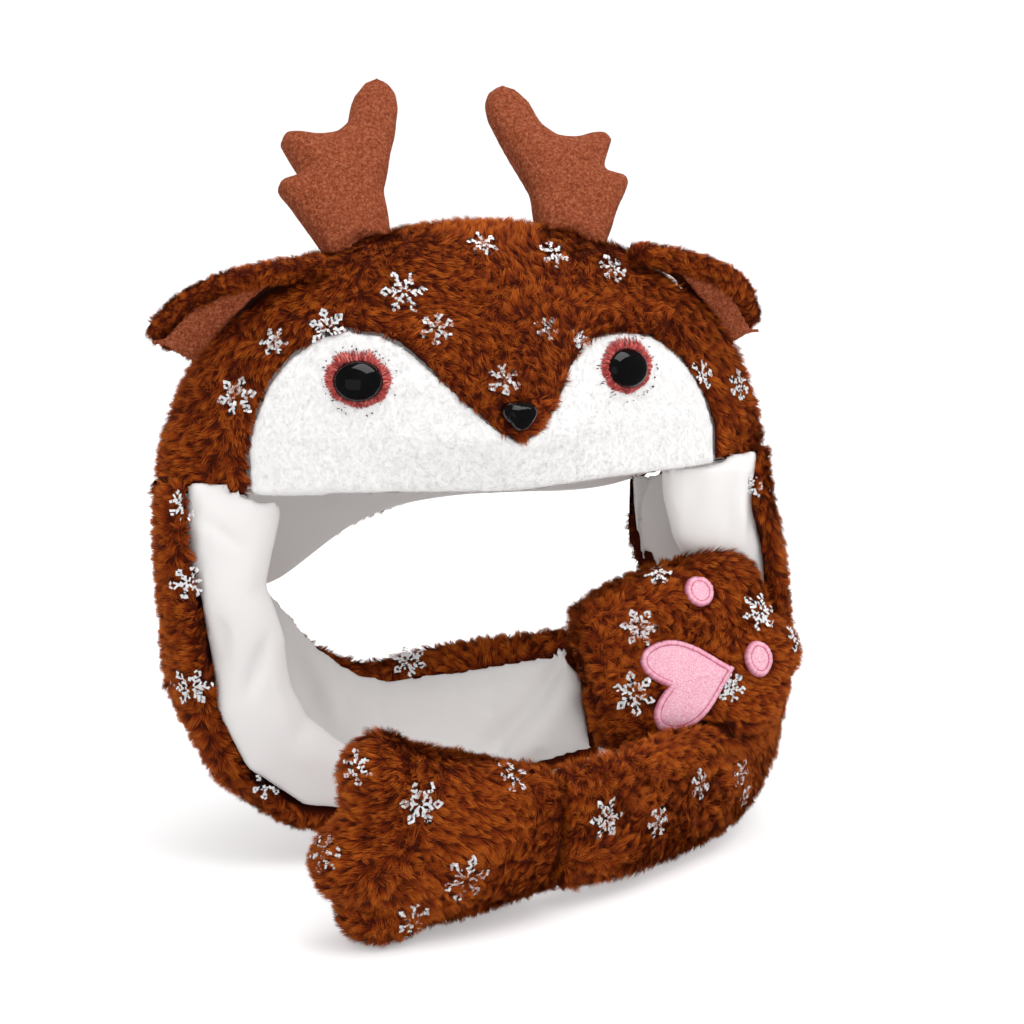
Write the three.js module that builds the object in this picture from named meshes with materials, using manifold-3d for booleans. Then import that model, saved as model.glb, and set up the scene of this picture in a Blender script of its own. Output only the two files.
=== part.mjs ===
// A plush reindeer hood: a hat with antlers, ears and a face, whose two side flaps run down into
// long padded scarf arms that cross in front and end in pocket mittens.
// Millimetres, +Z up. The face looks along -Y. Left and right are as seen from the front.
import * as THREE from "three";
import { mergeVertices } from "three/addons/utils/BufferGeometryUtils.js";
import Module from "manifold-3d";

const wasm = await Module();
wasm.setup();

// Driving dimensions. Heights are measured from the lowest edge of the side flaps.
const GAP = 0.3;
const LAYER_GAP = 0.5;
const FUR_FRONT = 1.5;
const GRID = 0.02;
const CROWN = { top: 288, waist: 150, halfWidth: 150, front: 50, back: 84 };
const CROWN_ROUNDNESS = { front: 1.6, back: 2, up: 2.2 };
const SNOUT = { height: 22, z: 200, spreadX: 27, spreadZ: 24 };
const HEM = { front: 174, side: 172, back: 144 };
// The hem hangs lower round its left back corner.
const HEM_CORNER = { atDeg: 133, spreadDeg: 24, drop: 40 };
const FUR_WALL = 6;
const LINING_WALL = 3;
const HEM_CUT = 6;
const FACE_REACH = { from: -160, to: -4 };
const ANTLER = { foot: 277, y: 5, leanDeg: 33, thick: 15, bevel: 5, fuller: 1.2 };
const HEARTS = {
  left: { along: 40, across: -15.5, size: 21, turnDeg: 3 },
  right: { along: 46, across: 0, size: 20, turnDeg: 0 },
};
const HEART_LENGTH = 1.12;
const EYE = { x: 63.6, z: 222, y: -37, half: 12, halfHigh: 9.5, dome: 7, ring: 5.5, ringThick: 1.8 };
const NOSE = { x: 1.5, z: 209, y: -67, half: 8.4, high: 7.6, deep: 8, widerAbove: 0.34 };
const POCKET = { end: 66, mouth: -4, edge: 8, low: -2, high: 10 };
const PAD_THICK = 2.6;
const PAD_REACH = 40;
const SEAT_HEIGHT = CROWN.top - FUR_WALL - LINING_WALL - GAP;

const MATERIALS = {
  brownPlush: { color: 0x8a4314, roughness: 0.95 },
  whitePlush: { color: 0xeeeceb, roughness: 0.95 },
  rustVelour: { color: 0x9c4f33, roughness: 0.85 },
  blackPlastic: { color: 0x0b0b0d, roughness: 0.15 },
  coralFelt: { color: 0xd8484a, roughness: 0.8 },
  pinkFelt: { color: 0xf08fb8, roughness: 0.9 },
};

const hat = new THREE.Group();
const pieces = new THREE.Group();
pieces.position.z = -SEAT_HEIGHT;
hat.add(pieces);

const { lerp, smoothstep } = THREE.MathUtils;
const vec = (x, y, z) => new THREE.Vector3(x, y, z);

// Solids and geometries

function solidOf(geometry) {
  const bare = geometry.index ? geometry.toNonIndexed() : geometry.clone();
  bare.deleteAttribute("normal");
  bare.deleteAttribute("uv");
  const merged = mergeVertices(bare, 1e-3);
  const index = merged.index.array;
  const kept = [];
  for (let i = 0; i < index.length; i += 3) {
    const [a, b, c] = index.slice(i, i + 3);
    if (a !== b && b !== c && c !== a) kept.push(a, b, c);
  }
  return new wasm.Manifold(
    new wasm.Mesh({
      numProp: 3,
      vertProperties: new Float32Array(merged.attributes.position.array),
      triVerts: new Uint32Array(kept),
    }),
  );
}

// The same body with its corners on a fine grid, which takes away the slivers that a cut leaves.
function onGrid(solid) {
  const geometry = geometryOf(solid);
  const spots = geometry.attributes.position;
  for (let i = 0; i < spots.array.length; i++) spots.array[i] = Math.round(spots.array[i] / GRID) * GRID;
  return mainBody(solidOf(geometry));
}

function geometryOf(solid) {
  const mesh = solid.getMesh();
  const geometry = new THREE.BufferGeometry();
  geometry.setAttribute("position", new THREE.BufferAttribute(mesh.vertProperties, 3));
  geometry.setIndex(new THREE.BufferAttribute(mesh.triVerts, 1));
  geometry.computeVertexNormals();
  return geometry;
}

// The largest connected body of a cut, so that no stray crumbs stay with it.
function mainBody(solid) {
  return solid.decompose().sort((a, b) => b.volume() - a.volume())[0];
}

function addPiece(name, solid, material) {
  const geometry = geometryOf(onGrid(onGrid(mainBody(solid))));
  const mesh = new THREE.Mesh(geometry, new THREE.MeshStandardMaterial(MATERIALS[material]));
  mesh.name = name;
  pieces.add(mesh);
}

// A closed skin through rings of equally many points, an even number of them. The first and last ring
// are capped by a band that joins each point to its opposite one across the ring.
function loft(rings) {
  const count = rings[0].length;
  const last = (rings.length - 1) * count;
  const triangles = [];
  for (let r = 0; r + 1 < rings.length; r++) {
    for (let i = 0; i < count; i++) {
      const a = r * count + i;
      const b = r * count + ((i + 1) % count);
      triangles.push([a, b, b + count], [a, b + count, a + count]);
    }
  }
  for (let i = 0; i < count / 2; i++) {
    const [a, b, c, d] = [i, i + 1, count - i - 1, (count - i) % count];
    triangles.push([a, c, b], [a, d, c], [last + a, last + b, last + c], [last + a, last + c, last + d]);
  }
  const skin = (faces) => {
    const geometry = new THREE.BufferGeometry().setFromPoints(rings.flat());
    geometry.setIndex(faces.flat());
    return solidOf(geometry);
  };
  const solid = skin(triangles);
  return solid.volume() > 0 ? solid : skin(triangles.map(([a, b, c]) => [a, c, b]));
}

// A prism of an outline drawn in x and z, running along y between two places.
function prismAlongY(points, yLow, yHigh) {
  const outline = new THREE.Shape(points.map(([x, z]) => new THREE.Vector2(x, z)));
  const geometry = new THREE.ExtrudeGeometry(outline, { depth: yHigh - yLow, bevelEnabled: false });
  geometry.rotateX(Math.PI / 2);
  geometry.translate(0, yHigh, 0);
  return solidOf(geometry);
}

function ellipsoid(centre, half, around = 16, rows = 8) {
  const geometry = new THREE.SphereGeometry(1, around, rows);
  geometry.scale(...half);
  geometry.translate(...centre);
  return solidOf(geometry);
}

function ellipse(centreX, centreZ, halfX, halfZ, count) {
  return Array.from({ length: count }, (_, i) => {
    const angle = (i / count) * 2 * Math.PI;
    return [centreX + halfX * Math.cos(angle), centreZ + halfZ * Math.sin(angle)];
  });
}

// An outline moved outwards by growth, or inwards where it is negative.
function grown(outline, growth) {
  const clockwise = THREE.ShapeUtils.isClockWise(outline.map(([x, y]) => new THREE.Vector2(x, y))) ? -1 : 1;
  return outline.map(([x, y], i) => {
    const [x0, y0] = outline[(i + outline.length - 1) % outline.length];
    const [x1, y1] = outline[(i + 1) % outline.length];
    const move = (clockwise * growth) / Math.hypot(x1 - x0, y1 - y0);
    return [x + move * (y1 - y0), y - move * (x1 - x0)];
  });
}

// A stuffed flat shape: an outline in x and y with edges rounded over its thickness in z.
const PILLOW = [
  { inset: 1, level: -1 },
  { inset: 0.3, level: -0.72 },
  { inset: 0, level: 0 },
  { inset: 0.3, level: 0.72 },
  { inset: 1, level: 1 },
];

function pillow(outline, thick, rounding) {
  const rings = PILLOW.map(({ inset, level }) =>
    grown(outline, -inset * rounding).map(([x, y]) => vec(x, y, (level * thick) / 2)),
  );
  const count = outline.length;
  const faces = [];
  for (let r = 0; r + 1 < rings.length; r++) {
    for (let i = 0; i < count; i++) {
      const a = r * count + i;
      const b = r * count + ((i + 1) % count);
      faces.push([a, b, b + count], [a, b + count, a + count]);
    }
  }
  const contour = outline.map(([x, y]) => new THREE.Vector2(x, y));
  for (const [a, b, c] of THREE.ShapeUtils.triangulateShape(contour, [])) {
    const top = (rings.length - 1) * count;
    faces.push([a, c, b], [top + a, top + b, top + c]);
  }
  const geometry = new THREE.BufferGeometry().setFromPoints(rings.flat());
  geometry.setIndex(faces.flat());
  return solidOf(geometry);
}

// Rows with named columns, run through by a smooth curve: count rows in all.
function smoothRows(rows, count) {
  const at = (name, t) => {
    const place = t * (rows.length - 1);
    const i = Math.min(rows.length - 2, Math.floor(place));
    const w = place - i;
    const near = (k) => rows[Math.max(0, Math.min(rows.length - 1, k))][name];
    const [a, b, c, d] = [near(i - 1), near(i), near(i + 1), near(i + 2)];
    const slope = (c - a) * w;
    const bend = (2 * a - 5 * b + 4 * c - d) * w ** 2;
    return 0.5 * (2 * b + slope + bend + (3 * b - a - 3 * c + d) * w ** 3);
  };
  const names = Object.keys(rows[0]);
  return Array.from({ length: count }, (_, k) =>
    Object.fromEntries(names.map((name) => [name, at(name, k / (count - 1))])),
  );
}

// Crown

// The crown's surface, moved inwards by depth, at an angle round Z (0 at +X, 90 degrees at the back).
function crownPoint(angle, z, depth) {
  const level = Math.min(1, Math.max(0, (z - CROWN.waist) / (CROWN.top - CROWN.waist - depth)));
  const shrink = (1 - level ** CROWN_ROUNDNESS.up) ** (1 / CROWN_ROUNDNESS.up);
  const c = Math.cos(angle);
  const s = Math.sin(angle);
  const isFront = s < 0;
  const halfDeep = (isFront ? CROWN.front : CROWN.back) - depth;
  const power = 2 / lerp(CROWN_ROUNDNESS.back, CROWN_ROUNDNESS.front, smoothstep(-s, 0, 0.5));
  const x = (CROWN.halfWidth - depth) * shrink * Math.sign(c) * Math.abs(c) ** power;
  let y = halfDeep * shrink * Math.sign(s) * Math.abs(s) ** power;
  if (isFront) {
    const across = (x / SNOUT.spreadX) ** 2;
    const up = ((z - SNOUT.z) / SNOUT.spreadZ) ** 2;
    y -= SNOUT.height * Math.exp(-(across + up) / 2) * shrink * smoothstep(-s, 0, 0.3);
  }
  return vec(x, y, z);
}

function hemHeight(angle) {
  const s = Math.sin(angle);
  const toFront = smoothstep(-s, 0.3, 0.9);
  const toBack = smoothstep(s, 0.3, 0.9);
  const offCorner = (THREE.MathUtils.radToDeg(angle) - HEM_CORNER.atDeg) / HEM_CORNER.spreadDeg;
  const corner = HEM_CORNER.drop * Math.exp(-(offCorner ** 2));
  return HEM.side + (HEM.front - HEM.side) * toFront + (HEM.back - HEM.side) * toBack - corner;
}

// The crown as one lump, moved inwards by depth and reaching below its hem by drop.
function crownLump(depth, drop, around = 34, rows = 8) {
  const top = CROWN.top - depth;
  const rings = Array.from({ length: rows }, (_, r) =>
    Array.from({ length: around }, (_, i) => {
      const angle = (i / around) * 2 * Math.PI;
      const rise = Math.sin(((r / (rows - 0.6)) * Math.PI) / 2);
      return crownPoint(angle, lerp(hemHeight(angle), top, rise), depth);
    }),
  );
  const skirt = rings[0].map((p) => vec(p.x, p.y, p.z - drop));
  return loft(drop > 0 ? [skirt, ...rings] : rings);
}

// The face patch's outline on either side, from its middle notch down to its lower corner.
const PATCH_NOTCH = [2, 195];
const PATCH_EDGES = {
  left: [
    { x: 10, z: 203 },
    { x: 26, z: 220 },
    { x: 40, z: 234 },
    { x: 52, z: 241 },
    { x: 66, z: 243 },
    { x: 79, z: 240 },
    { x: 91, z: 231 },
    { x: 101, z: 220 },
    { x: 108, z: 203 },
    { x: 111, z: 190 },
    { x: 111, z: 160 },
  ],
  right: [
    { x: 15, z: 201 },
    { x: 26, z: 214 },
    { x: 34, z: 228 },
    { x: 45, z: 236 },
    { x: 62, z: 238 },
    { x: 79, z: 235 },
    { x: 92, z: 226 },
    { x: 101, z: 216 },
    { x: 108, z: 203 },
    { x: 112, z: 190 },
    { x: 112, z: 160 },
  ],
};

// The face patch's outline, moved outwards by growth.
function patchOutline(growth) {
  const right = PATCH_EDGES.right.map(({ x, z }) => [x, z]);
  const left = PATCH_EDGES.left.map(({ x, z }) => [-x, z]).reverse();
  return grown([PATCH_NOTCH, ...right, ...left], growth);
}

const liningDepth = FUR_WALL + GAP;
const crownWall = crownLump(0, 0).subtract(crownLump(FUR_WALL, HEM_CUT));
const lining = crownLump(liningDepth, 0).subtract(crownLump(liningDepth + LINING_WALL, HEM_CUT));
const crownSkin = (growth) => crownLump(-growth, HEM_CUT * 4);
const faceCut = (growth) => prismAlongY(patchOutline(growth), FACE_REACH.from, FACE_REACH.to);
addPiece("hood_fur", crownWall.subtract(faceCut(GAP)), "brownPlush");
addPiece("face_patch", crownWall.intersect(faceCut(0)), "whitePlush");
addPiece("hood_lining", lining, "whitePlush");

// Eyes and nose

for (const [side, sign] of [["left", -1], ["right", 1]]) {
  const x = sign * EYE.x;
  const outer = ellipse(x, EYE.z, EYE.half + EYE.ring, EYE.halfHigh + EYE.ring, 18);
  const inner = ellipse(x, EYE.z, EYE.half, EYE.halfHigh, 18);
  const shell = crownSkin(GAP + EYE.ringThick).subtract(crownSkin(GAP));
  const [whole, hole] = [outer, inner].map((oval) => prismAlongY(oval, FACE_REACH.from, FACE_REACH.to));
  addPiece(`eye_ring_${side}`, shell.intersect(whole.subtract(hole)), "coralFelt");
  const button = ellipsoid([x, EYE.y, EYE.z], [EYE.half - GAP, EYE.dome, EYE.halfHigh - GAP]);
  addPiece(`eye_${side}`, button.subtract(crownSkin(GAP)), "blackPlastic");
}

const noseLump = new THREE.SphereGeometry(1, 14, 10);
noseLump.applyMatrix4(new THREE.Matrix4().makeScale(NOSE.half, NOSE.deep, NOSE.high));
const noseSpots = noseLump.attributes.position;
for (let i = 0; i < noseSpots.count; i++) {
  const wider = 1 + (NOSE.widerAbove * noseSpots.getZ(i)) / NOSE.high;
  noseSpots.setX(i, noseSpots.getX(i) * wider);
}
noseLump.translate(NOSE.x, NOSE.y, NOSE.z);
addPiece("nose", solidOf(noseLump).subtract(crownSkin(GAP)), "blackPlastic");

// Antlers

// The antler's outline: across from the middle of the hat, and up along the antler from its foot.
const ANTLER_EDGE = [
  { x: 34, up: -14 },
  { x: 35, up: 22 },
  { x: 29, up: 46 },
  { x: 22, up: 70 },
  { x: 23, up: 83 },
  { x: 31, up: 89 },
  { x: 42, up: 82 },
  { x: 50, up: 64 },
  { x: 63, up: 60 },
  { x: 77, up: 62 },
  { x: 82, up: 55 },
  { x: 75, up: 39 },
  { x: 84, up: 36 },
  { x: 86, up: 30 },
  { x: 77, up: 15 },
  { x: 68, up: 0 },
  { x: 62, up: -14 },
];

function antler(sign) {
  const edge = new THREE.SplineCurve(ANTLER_EDGE.map(({ x, up }) => new THREE.Vector2(x, up)));
  const outline = grown(edge.getPoints(26).map((p) => [p.x, p.y]), ANTLER.fuller);
  const lean = new THREE.Matrix4().makeRotationX(Math.PI / 2 - THREE.MathUtils.degToRad(ANTLER.leanDeg));
  lean.setPosition(0, ANTLER.y, ANTLER.foot);
  const counterclockwise = outline.reverse();
  const solid = pillow(counterclockwise, ANTLER.thick, ANTLER.bevel).transform(lean.elements);
  return (sign < 0 ? solid.mirror([1, 0, 0]) : solid).subtract(crownSkin(GAP));
}

addPiece("antler_left", antler(-1), "rustVelour");
addPiece("antler_right", antler(1), "rustVelour");

// Ears

// Half width and thickness along the ear, from its root to its tip, and how far its edges cup forwards.
const EAR_ROWS = [
  { along: -14, half: 18, thick: 9, cup: 7 },
  { along: 8, half: 24, thick: 8, cup: 8 },
  { along: 28, half: 25, thick: 7, cup: 7 },
  { along: 45, half: 21, thick: 6, cup: 5 },
  { along: 58, half: 13, thick: 5, cup: 2 },
  { along: 68, half: 3, thick: 3, cup: 0 },
];
const EAR = { root: [-84, -5, 259], faces: [-0.12, -0.86, -0.5], lining: 2.4 };
const EAR_DROOP = { left: -0.26, right: -0.36 };
const EAR_SIDES = 12;
// How far the lining stays inside the ear's upper and lower edge.
const EAR_MARGIN = { upper: 13, lower: 2.5 };

// A flat leaf between two faces, front and back of its middle sheet, in the ear's own directions.
function earLeaf(side, back, front, margin) {
  const along = vec(-0.93, 0.16, EAR_DROOP[side]).normalize();
  const faces = vec(...EAR.faces).projectOnPlane(along).normalize();
  const across = vec(0, 0, 0).crossVectors(faces, along);
  const rings = smoothRows(EAR_ROWS, 9).map((row) =>
    Array.from({ length: EAR_SIDES }, (_, i) => {
      const angle = (i / EAR_SIDES) * 2 * Math.PI;
      const half = Math.max(0.6, row.half - (margin.upper + margin.lower) / 2);
      const middle = Math.min((margin.upper - margin.lower) / 2, row.half / 3);
      const offset = middle + half * Math.cos(angle);
      const cup = row.cup * (offset / row.half) ** 2;
      const out = Math.sin(angle) > 0 ? front : back * (row.thick / EAR_ROWS[0].thick);
      return vec(...EAR.root)
        .addScaledVector(along, row.along)
        .addScaledVector(across, offset)
        .addScaledVector(faces, cup + out * Math.sin(angle));
    }),
  );
  return loft(rings);
}

for (const [side, flip] of [["left", false], ["right", true]]) {
  const put = (solid) => (flip ? solid.mirror([1, 0, 0]) : solid).subtract(crownSkin(GAP));
  const { upper, lower } = EAR_MARGIN;
  const bed = earLeaf(side, 0.7, EAR.lining + 2, { upper: upper - 1, lower: lower - 1 });
  const plush = earLeaf(side, EAR_ROWS[0].thick, 1.2, { upper: 0, lower: 0 }).subtract(bed);
  addPiece(`ear_${side}`, put(plush), "brownPlush");
  addPiece(`ear_lining_${side}`, put(earLeaf(side, 0, EAR.lining, EAR_MARGIN)), "rustVelour");
}

// Side flaps and scarf arms

// Each row is a place on the middle of the lining's plane, the direction that the lining faces, half
// the lining's width, how far the fur runs past it on either side, how deep the fur is behind it, the
// lining's depth behind and before the plane, how far the strip's edges curl towards its lining, and
// how much further its back edge wraps inwards behind the head.
const FLAPS = {
  left: {
    lapel: [
      {
        x: -115, y: -19, z: 177, fx: -0.15, fy: -1, fz: 0,
        half: 21, outer: 14.5, inner: -34, fur: 24, under: 10, pad: 5, curl: 0, wrap: 0,
      },
      {
        x: -116, y: -20, z: 161, fx: 0, fy: -1, fz: 0,
        half: 22, outer: 14.5, inner: -36, fur: 26, under: 11, pad: 6, curl: 0, wrap: 0,
      },
      {
        x: -119, y: -20, z: 138, fx: 0.1, fy: -1, fz: 0,
        half: 18, outer: 14.5, inner: -28, fur: 26, under: 11, pad: 6, curl: 0, wrap: 0,
      },
      {
        x: -116, y: -20, z: 118, fx: 0.1, fy: -1, fz: 0,
        half: 17, outer: 17.5, inner: -26, fur: 26, under: 11, pad: 6, curl: 0, wrap: 0,
      },
      {
        x: -111, y: -20, z: 98, fx: 0, fy: -1, fz: 0,
        half: 19, outer: 17.5, inner: -28, fur: 26, under: 11, pad: 6, curl: 0, wrap: 0,
      },
      {
        x: -109, y: -20, z: 78, fx: 0, fy: -1, fz: 0,
        half: 19, outer: 16.5, inner: -26, fur: 26, under: 11, pad: 6, curl: 0, wrap: 0,
      },
      {
        x: -104, y: -20, z: 60, fx: 0, fy: -1, fz: 0.1,
        half: 19, outer: 15, inner: -24, fur: 26, under: 10, pad: 6, curl: 0, wrap: 0,
      },
      {
        x: -92, y: -20, z: 45, fx: 0, fy: -1, fz: 0.1,
        half: 19, outer: 14, inner: -20, fur: 24, under: 9, pad: 6, curl: 0, wrap: 0,
      },
      {
        x: -74, y: -20, z: 33, fx: 0, fy: -1, fz: 0.1,
        half: 17, outer: 12, inner: -14, fur: 22, under: 8, pad: 5, curl: 0, wrap: 0,
      },
      {
        x: -56, y: -20, z: 26, fx: 0, fy: -1, fz: 0.1,
        half: 13, outer: 10, inner: -8, fur: 18, under: 6, pad: 4, curl: 0, wrap: 0,
      },
    ],
    arm: [
      {
        x: -139, y: 15, z: 176, fx: 1, fy: -0.22, fz: 0,
        half: 34, outer: 2, inner: 2, fur: 9, under: 0, pad: 3, curl: 10, wrap: 0,
      },
      {
        x: -138, y: 15, z: 150, fx: 1, fy: -0.28, fz: 0,
        half: 34, outer: 2, inner: 4, fur: 9, under: 0, pad: 3, curl: 9, wrap: 0,
      },
      {
        x: -130, y: 19, z: 118, fx: 0.8, fy: -0.6, fz: 0,
        half: 35, outer: 2, inner: 2, fur: 10, under: 0, pad: 4, curl: 6, wrap: 0,
      },
      {
        x: -112, y: 21, z: 86, fx: 0.45, fy: -0.9, fz: 0.1,
        half: 36, outer: 3, inner: 1, fur: 12, under: 0, pad: 4, curl: 0, wrap: 0,
      },
      {
        x: -88, y: 19, z: 60, fx: 0.15, fy: -0.95, fz: 0.3,
        half: 33, outer: 4, inner: 2, fur: 14, under: 0, pad: 5, curl: 0, wrap: 0,
      },
      {
        x: -55, y: 11, z: 46, fx: 0, fy: -0.85, fz: 0.5,
        half: 28, outer: 9, inner: 9, fur: 15, under: 0, pad: 5, curl: 0, wrap: 0,
      },
      {
        x: -20, y: 4, z: 45, fx: 0, fy: -0.82, fz: 0.57,
        half: 28, outer: 8, inner: 17, fur: 17, under: 0, pad: 6, curl: 0, wrap: 0,
      },
      {
        x: 14, y: -6, z: 49, fx: 0, fy: -0.85, fz: 0.5,
        half: 28, outer: 4, inner: 16, fur: 17, under: 0, pad: 6, curl: 0, wrap: 0,
      },
      {
        x: 47, y: -25, z: 62, fx: -0.1, fy: -0.9, fz: 0.4,
        half: 26, outer: 2, inner: 11, fur: 15, under: 0, pad: 4, curl: 0, wrap: 0,
      },
    ],
  },
  right: {
    lapel: [
      {
        x: 112, y: -19, z: 178.5, fx: 0.15, fy: -1, fz: 0,
        half: 22, outer: 12, inner: -36, fur: 24, under: 10, pad: 5, curl: 0, wrap: 0,
      },
      {
        x: 111, y: -20, z: 165, fx: 0.1, fy: -1, fz: 0,
        half: 23, outer: 13, inner: -38, fur: 26, under: 11, pad: 6, curl: 0, wrap: 0,
      },
      {
        x: 114, y: -20, z: 145, fx: 0, fy: -1, fz: 0,
        half: 21, outer: 14, inner: -34, fur: 26, under: 11, pad: 6, curl: 0, wrap: 0,
      },
      {
        x: 123, y: -18, z: 126, fx: -0.1, fy: -1, fz: 0,
        half: 18, outer: 14, inner: -26, fur: 26, under: 10, pad: 5, curl: 0, wrap: 0,
      },
      {
        x: 130, y: -16, z: 106, fx: -0.2, fy: -1, fz: 0,
        half: 14, outer: 12, inner: -18, fur: 24, under: 8, pad: 4, curl: 0, wrap: 0,
      },
      {
        x: 137, y: -16, z: 86, fx: -0.3, fy: -1, fz: 0,
        half: 8, outer: 9, inner: -8, fur: 18, under: 6, pad: 3, curl: 0, wrap: 0,
      },
    ],
    arm: [
      {
        x: 139, y: 15, z: 176, fx: -1, fy: -0.22, fz: 0,
        half: 34, outer: 2, inner: 2, fur: 9, under: 0, pad: 3, curl: 10, wrap: 26,
      },
      {
        x: 142, y: 14, z: 145, fx: -1, fy: -0.15, fz: 0,
        half: 34, outer: 3, inner: 4, fur: 10, under: 0, pad: 3, curl: 9, wrap: 34,
      },
      {
        x: 146, y: 8, z: 110, fx: -1, fy: 0, fz: 0,
        half: 33, outer: 3, inner: 4, fur: 12, under: 0, pad: 4, curl: 5, wrap: 34,
      },
      {
        x: 146, y: 0, z: 76, fx: -0.98, fy: 0.2, fz: 0.1,
        half: 31, outer: 3, inner: 4, fur: 13, under: 0, pad: 4, curl: 0, wrap: 12,
      },
      {
        x: 138, y: -15, z: 46, fx: -0.85, fy: 0.5, fz: 0.2,
        half: 29, outer: 3, inner: 3, fur: 16, under: 0, pad: 5, curl: 0, wrap: 0,
      },
      {
        x: 110, y: -39, z: 30, fx: -0.55, fy: 0.83, fz: 0.1,
        half: 26, outer: 3, inner: 3, fur: 17, under: 0, pad: 5, curl: 0, wrap: 0,
      },
      {
        x: 72, y: -64, z: 27, fx: -0.5, fy: 0.86, fz: 0,
        half: 26, outer: 3, inner: 3, fur: 18, under: 0, pad: 6, curl: 0, wrap: 0,
      },
      {
        x: 35, y: -86, z: 28, fx: -0.42, fy: 0.9, fz: 0,
        half: 27, outer: 3, inner: 3, fur: 18, under: 0, pad: 6, curl: 0, wrap: 0,
      },
      {
        x: 3, y: -100, z: 29, fx: -0.35, fy: 0.93, fz: 0,
        half: 26, outer: 2, inner: 2, fur: 17, under: 0, pad: 5, curl: 0, wrap: 0,
      },
    ],
  },
};
const STRIP_SIDES = 12;
const STRIP_POWER = 2.6;
const LAPEL_STEPS = 8;
const ARM_STEPS = 16;

// A point on a rounded box in a strip's own section, between two sides and two depths.
function roundedSection(angle, [fromSide, toSide], [fromDepth, toDepth]) {
  const spread = (value) => Math.sign(value) * Math.abs(value) ** (2 / STRIP_POWER);
  const side = (fromSide + toSide) / 2 + ((toSide - fromSide) / 2) * spread(Math.cos(angle));
  const depth = (fromDepth + toDepth) / 2 + ((toDepth - fromDepth) / 2) * spread(Math.sin(angle));
  return [side, depth];
}

// A layer's two sides and two depths in a row's section.
const LAYERS = {
  fur: (row) => [-row.half - row.outer, row.half + row.inner, -row.fur, FUR_FRONT],
  lining: (row) => [-row.half, row.half, -row.under - 1, row.pad],
};

// One layer of a strip, lofted along its rows and moved outwards on all sides by growth.
function strip(rows, turn, layer, steps, growth = 0) {
  const path = smoothRows(rows, steps);
  const places = path.map(({ x, y, z }) => vec(x, y, z));
  const rings = path.map((row, k) => {
    const ahead = places[Math.min(k + 1, steps - 1)].clone().sub(places[Math.max(k - 1, 0)]).normalize();
    const faces = vec(row.fx, row.fy, row.fz).projectOnPlane(ahead).normalize();
    const across = vec(0, 0, 0).crossVectors(faces, ahead).multiplyScalar(turn);
    const longer = growth * (Number(k === steps - 1) - Number(k === 0));
    const place = places[k].clone().addScaledVector(ahead, longer);
    const [near, far, low, high] = LAYERS[layer](row);
    return Array.from({ length: STRIP_SIDES }, (_, i) => {
      const angle = (i / STRIP_SIDES) * 2 * Math.PI;
      const depths = [low - growth, high + growth];
      const [side, depth] = roundedSection(angle, [near - growth, far + growth], depths);
      const curl = row.curl * (side / row.half) ** 2;
      const curled = depth + curl + row.wrap * (Math.max(0, side) / row.half) ** 2;
      return place.clone().addScaledVector(across, side).addScaledVector(faces, curled);
    });
  });
  return loft(rings);
}

const turns = { left: 1, right: -1 };
const blocks = {};
for (const side of ["right", "left"]) {
  const lapel = (layer, growth) => strip(FLAPS[side].lapel, turns[side], layer, LAPEL_STEPS, growth);
  const arm = (layer, growth) => strip(FLAPS[side].arm, turns[side], layer, ARM_STEPS, growth);
  const armBlock = arm("fur", LAYER_GAP).add(arm("lining", LAYER_GAP));
  const others = side === "left" ? blocks.right.add(crownLump(-GAP, GAP)) : crownLump(-GAP, GAP);
  const fur = lapel("fur").subtract(lapel("lining", LAYER_GAP)).add(arm("fur"));
  addPiece(`flap_${side}_fur`, fur.subtract(arm("lining", LAYER_GAP)).subtract(others), "brownPlush");
  addPiece(`flap_${side}_lining`, arm("lining").subtract(others), "whitePlush");
  addPiece(`facing_${side}`, lapel("lining").subtract(armBlock).subtract(others), "whitePlush");
  blocks[side] = armBlock.add(lapel("fur", LAYER_GAP)).add(lapel("lining", LAYER_GAP));
}

// Paws

// Each row is a section across the paw: its low and high side, and half its thickness.
const PAW_ROWS = {
  left: [
    { along: 0, low: -37, high: 30, half: 16 },
    { along: 9, low: -40, high: 34, half: 18 },
    { along: 28, low: -43, high: 39, half: 20 },
    { along: 50, low: -44, high: 42, half: 20 },
    { along: 72, low: -42, high: 40, half: 18 },
    { along: 86, low: -36, high: 34, half: 15 },
    { along: 94, low: -24, high: 22, half: 8 },
  ],
  right: [
    { along: 0, low: -27, high: 27, half: 16 },
    { along: 10, low: -28, high: 28, half: 18 },
    { along: 28, low: -31, high: 32, half: 20 },
    { along: 50, low: -36, high: 37, half: 20 },
    { along: 76, low: -41, high: 42, half: 18 },
    { along: 91, low: -37, high: 41, half: 15 },
    { along: 98, low: -25, high: 30, half: 8 },
  ],
};
const TOES = {
  left: [
    { along: 68, across: 26, long: 27, half: 19, thick: 17 },
    { along: 76, across: -8, long: 29, half: 20, thick: 18 },
    { along: 62, across: -32, long: 26, half: 15, thick: 16 },
  ],
  right: [
    { along: 85, across: 29, long: 17, half: 19, thick: 17 },
    { along: 85, across: -7, long: 26, half: 20, thick: 18 },
    { along: 78, across: -31, long: 19, half: 14, thick: 16 },
  ],
};
const TOE_PADS = {
  left: [
    { along: 58, across: 25, halfAlong: 6.5, halfAcross: 7 },
    { along: 79, across: -12, halfAlong: 6.5, halfAcross: 8 },
    { along: 56, across: -40, halfAlong: 5, halfAcross: 4 },
  ],
  right: [
    { along: 70, across: 24, halfAlong: 7, halfAcross: 7 },
    { along: 86, across: -7, halfAlong: 6, halfAcross: 8 },
    { along: 70, across: -30, halfAlong: 6, halfAcross: 6 },
  ],
};
const PAW_SIDES = 14;

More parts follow.
